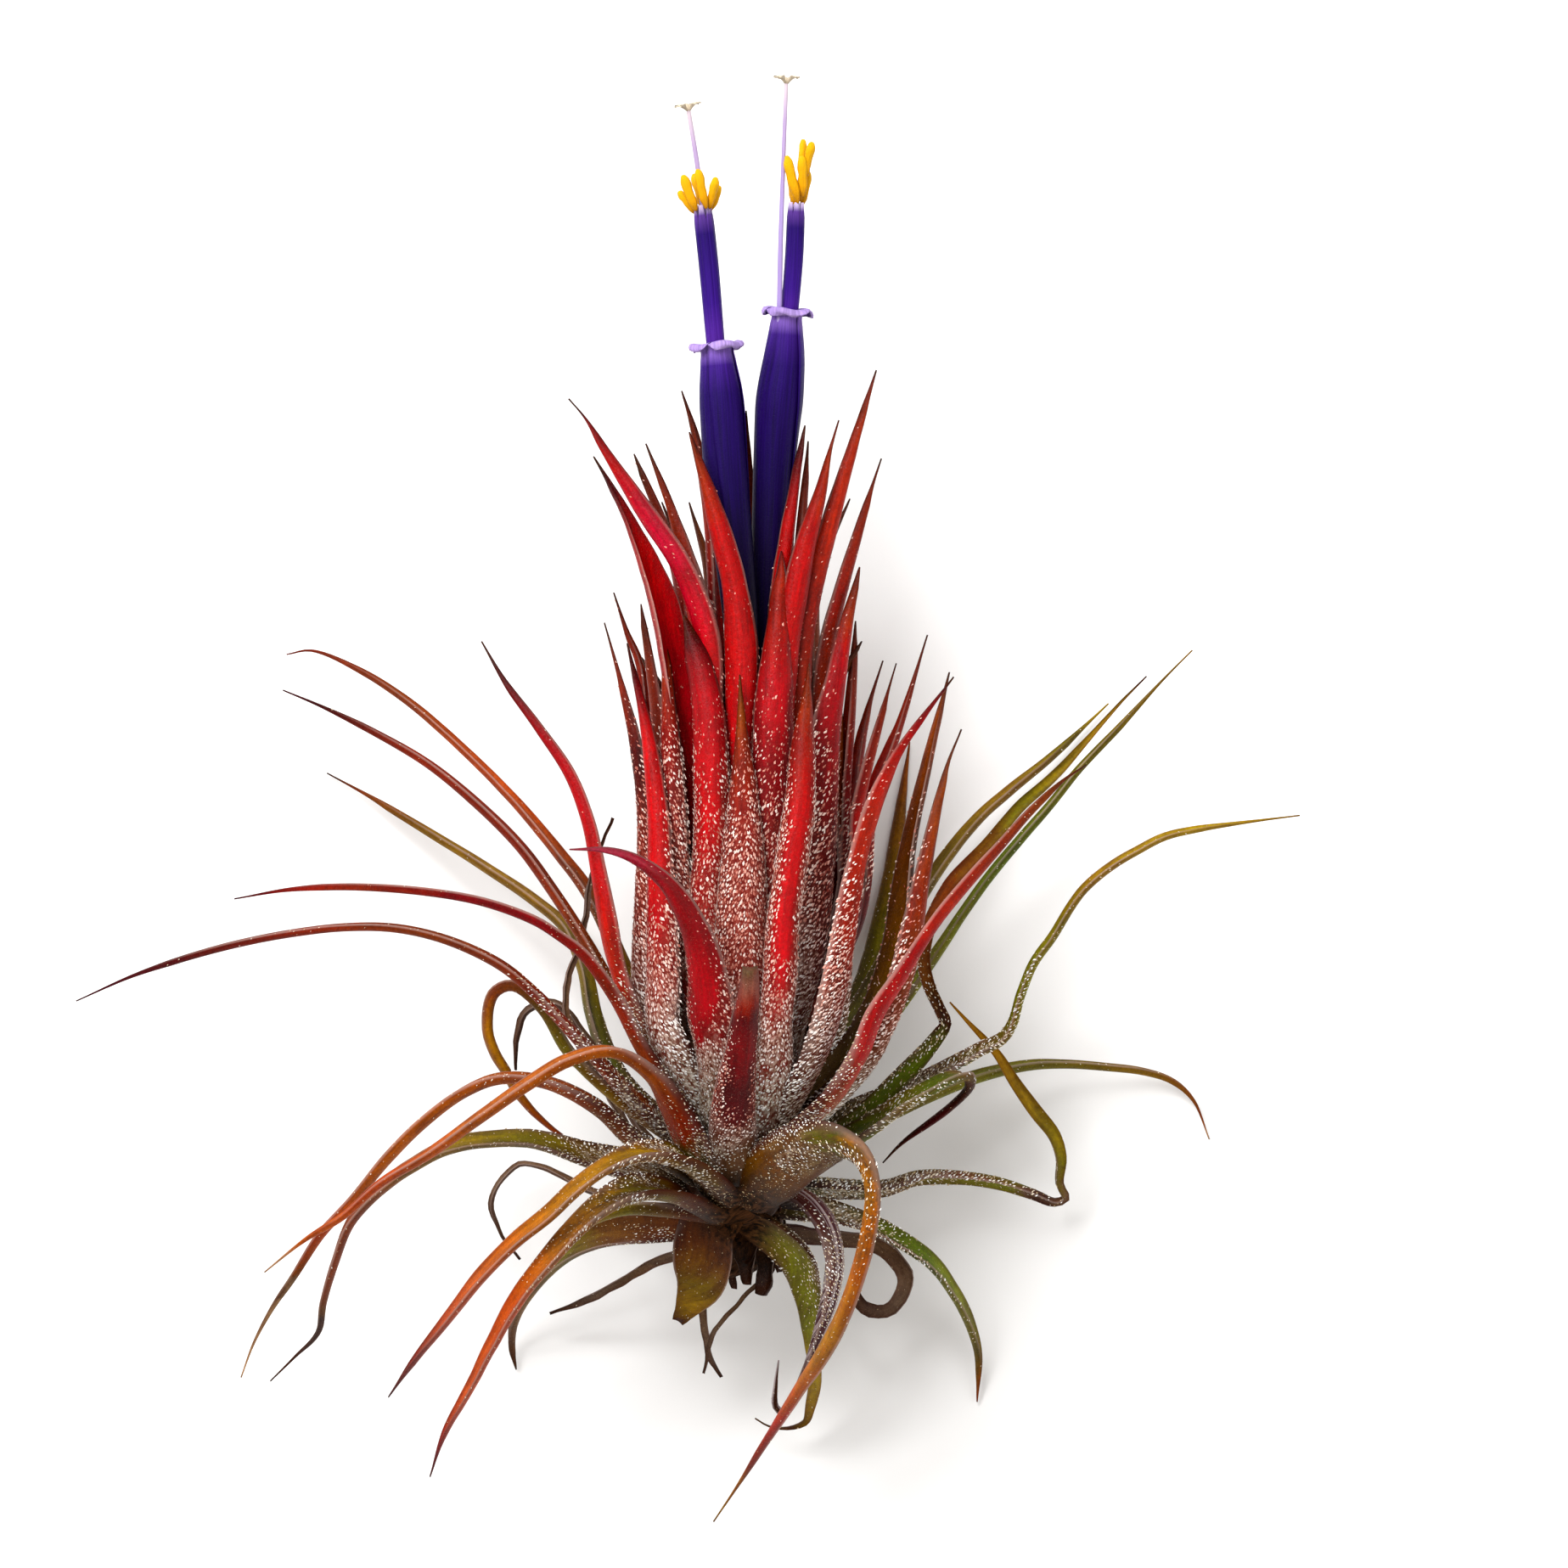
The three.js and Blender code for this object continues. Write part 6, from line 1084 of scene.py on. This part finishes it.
def add_corolla(piece, flower):
    places, ways, ups, across, radius, lengths, _ = round_frame(flower["corolla"], 0.7)
    c = np.linspace(-1, 1, 25)
    lip_up, lip_out = np.array(LIP_PATH).T
    base = np.concatenate([places, places[-1] + ways[-1] * lip_up[:, None]])
    ups, across = (np.concatenate([f, np.repeat(f[-1:], len(lip_up), axis=0)])[:, None]
                   for f in (ups, across))
    out = np.concatenate([radius, radius[-1] + lip_out])
    lip_run = np.cumsum(np.hypot(np.diff(lip_up, prepend=0), np.diff(lip_out, prepend=0)))
    run = np.concatenate([lengths, lengths[-1] + lip_run])[:, None]
    share = run / run[-1]
    open_lip = np.concatenate([np.zeros(len(radius)), np.linspace(0.1, 1, len(lip_up))])[:, None]
    start = smooth(share, 0.0, 0.12)
    for k in range(3):
        middle = TURN * k / 3 + flower["turn"] + PETAL_TWIST * smooth(share, 0.5, 0.95)
        angle = middle + c * PETAL_SPAN * (1 - PETAL_NARROWING * open_lip ** 2)
        lap = PETAL_LAP * c * start * (1 - open_lip)
        fold = PETAL_FOLD * np.cos(c * math.pi * 1.5) * start
        ruffle = LIP_RUFFLE * np.sin(5.1 * c + 2.1 * k) * open_lip
        curl = ways[-1] * (LIP_CURL * np.sin(4.3 * c + k) * open_lip)[..., None]
        side = turned(across, ups, angle[..., None])
        sheet = base[:, None] + side * (out[:, None] + lap + fold + ruffle)[..., None] + curl
        place = stacked(angle * 2.0, run, k * 9.0)
        shell(piece, sheet, side, PETAL_THICK, leaf_place=place, leaf_share=share)


def add_stamens(piece, flower):
    places, ways, ups, across, radius, lengths, share = round_frame(flower["stamens"], 0.8)
    angle = np.linspace(0, TURN, 12, endpoint=False)
    ring = radius * FILAMENT_RING * (0.55 + 0.45 * smooth(share, 0.0, 0.4))
    wide = FILAMENT_WIDE * (0.7 + 0.3 * smooth(share, 0.2, 0.5)) * (1 - 0.55 * smooth(share, 0.93, 1.0))
    deep = FILAMENT_DEEP * (1 - 0.4 * smooth(share, 0.93, 1.0))
    for k in range(6):
        turn = TURN * k / 6 + flower["turn"] + FILAMENT_TURN
        side, tangent = turned(across, ups, turn), turned(ups, -across, turn)
        middle = places + side * ring[:, None]
        grid = (middle[:, None] + tangent[:, None] * (np.cos(angle) * wide[:, None])[..., None]
                + side[:, None] * (np.sin(angle) * deep[:, None])[..., None])
        place = stacked(angle * 0.5, lengths[:, None], k * 7.0)
        add_tube(piece, grid, 0, leaf_place=place, leaf_share=share[:, None])
    for k, ends in enumerate(flower["anthers"]):
        start, end = np.reshape(ends, (2, 3))
        line = [(*(start + (end - start) * t), r) for t, r in ANTHER_RADII]
        grid, place, share = round_grid(
            line, 14, 0.2, lambda a, t: 1 + ANTHER_GROOVE * np.cos(2 * a + k) * np.sin(3.1 * t))
        rough = ANTHER_ROUGH * waves(grid, 40 + k, 0.5)
        grid = grid + unit(grid - grid.mean(axis=1, keepdims=True)) * rough[..., None]
        add_tube(piece, grid, 1, leaf_place=place, leaf_share=share)


def add_pistil(piece, flower, seed):
    grid, place, share = round_grid([(*p, r) for p, r in zip(flower["style"], STYLE_RADII)], 14, 0.8)
    add_tube(piece, grid, 0, leaf_place=place, leaf_share=share)
    below, tip = np.array(flower["style"][-2:], float)
    way = unit(tip - below)
    side = unit(np.cross(way, (0, 0, 1)))
    up = np.cross(side, way)
    u, c = np.linspace(0, 1, 9)[:, None], np.linspace(-1, 1, 15)[None]
    for k in range(3):
        turn = TURN * k / 3 + STIGMA_TURN
        out, tangent = turned(side, up, turn), turned(up, -side, turn)
        reach = STIGMA_FIRST + STIGMA_REACH * u ** 0.9 + STIGMA_WAVE * u * np.cos(8 * c + k)
        rise = STIGMA_RISE * np.sin(1.5 * u) - STIGMA_DROOP * u ** 3 - 0.15
        rise = rise + STIGMA_WAVE * u * np.sin(6.5 * c + seed + k)
        spread = (0.16 + 0.72 * smooth(u, 0.1, 0.9)) * c
        sheet = tip + reach[..., None] * out + rise[..., None] * way + spread[..., None] * tangent
        normal, place = unit(out * 0.8 - way * 0.6), stacked(c, u, k * 3.0)
        shell(piece, sheet, normal, STIGMA_THICK, 1, leaf_place=place, leaf_share=u)


for number, (side_name, flower) in enumerate(FLOWERS.items()):
    corolla, stamens, pistil = Piece(violet), Piece(filament, pollen), Piece(style_skin, stigma_skin)
    add_corolla(corolla, flower)
    add_stamens(stamens, flower)
    add_pistil(pistil, flower, number)
    finish(corolla.build(f"petals_{side_name}"), f"corolla_{side_name}")
    finish(stamens.build(f"filaments_{side_name}"), f"stamens_{side_name}")
    finish(pistil.build(f"style_{side_name}"), f"pistil_{side_name}")


# Stage: a white surface, soft light from the upper left and a camera straight above
PHOTO_CENTRE = (9.76, 1.68)  # the point under the photo's centre
PHOTO_SIDE = 158.8  # what the photo's frame spans at the plant's middle height
MIDDLE_HEIGHT = 22
CAMERA_DISTANCE = 2600
SENSOR = 36
CLIP_NEAR, CLIP_FAR = 0.1, 20
LIGHT_AIM = (0, 0, 0.02)
SKY_COLOUR, SKY_STRENGTH = (1.0, 0.96, 0.91, 1), 0.58
FLOOR_SIZE, FLOOR_DROP = 6, 0.0002

n = Nodes("white_surface")
coordinates = n.add("TexCoord", {}, "Object")
whites = (0.3, (0.86, 0.86, 0.86)), (0.7, (0.90, 0.90, 0.90))
bpy.ops.mesh.primitive_plane_add(size=FLOOR_SIZE, location=(0, 0, -FLOOR_DROP))
floor = bpy.context.object
floor.name = "surface"
floor.data.materials.append(n.finish(n.ramp(n.noise(coordinates, 30.0), whites), 0.8, 0.2))

camera_data = bpy.data.cameras.new("camera")
camera_data.sensor_width = SENSOR
camera_data.lens = SENSOR * CAMERA_DISTANCE / PHOTO_SIDE
camera_data.clip_start, camera_data.clip_end = CLIP_NEAR, CLIP_FAR
camera = bpy.data.objects.new("camera", camera_data)
camera.location = (PHOTO_CENTRE[0] * MM, PHOTO_CENTRE[1] * MM, (MIDDLE_HEIGHT + CAMERA_DISTANCE) * MM)
bpy.context.scene.collection.objects.link(camera)
bpy.context.scene.camera = camera


def soft_light(name, place, size, power):
    data = bpy.data.lights.new(name, "AREA")
    data.shape = "SQUARE"
    data.size, data.energy = size, power
    light = bpy.data.objects.new(name, data)
    light.location = place
    light.rotation_euler = (Vector(LIGHT_AIM) - Vector(place)).to_track_quat("-Z", "Y").to_euler()
    bpy.context.scene.collection.objects.link(light)


soft_light("window", (-0.42, 0.62, 0.95), 0.7, 20.0)
soft_light("fill", (0.7, -0.2, 0.9), 1.0, 4.0)
world = bpy.data.worlds.new("daylight")
world.use_nodes = True
sky = world.node_tree.nodes["Background"]
sky.inputs["Color"].default_value = SKY_COLOUR
sky.inputs["Strength"].default_value = SKY_STRENGTH
bpy.context.scene.world = world
bpy.context.scene.view_settings.view_transform = "Standard"
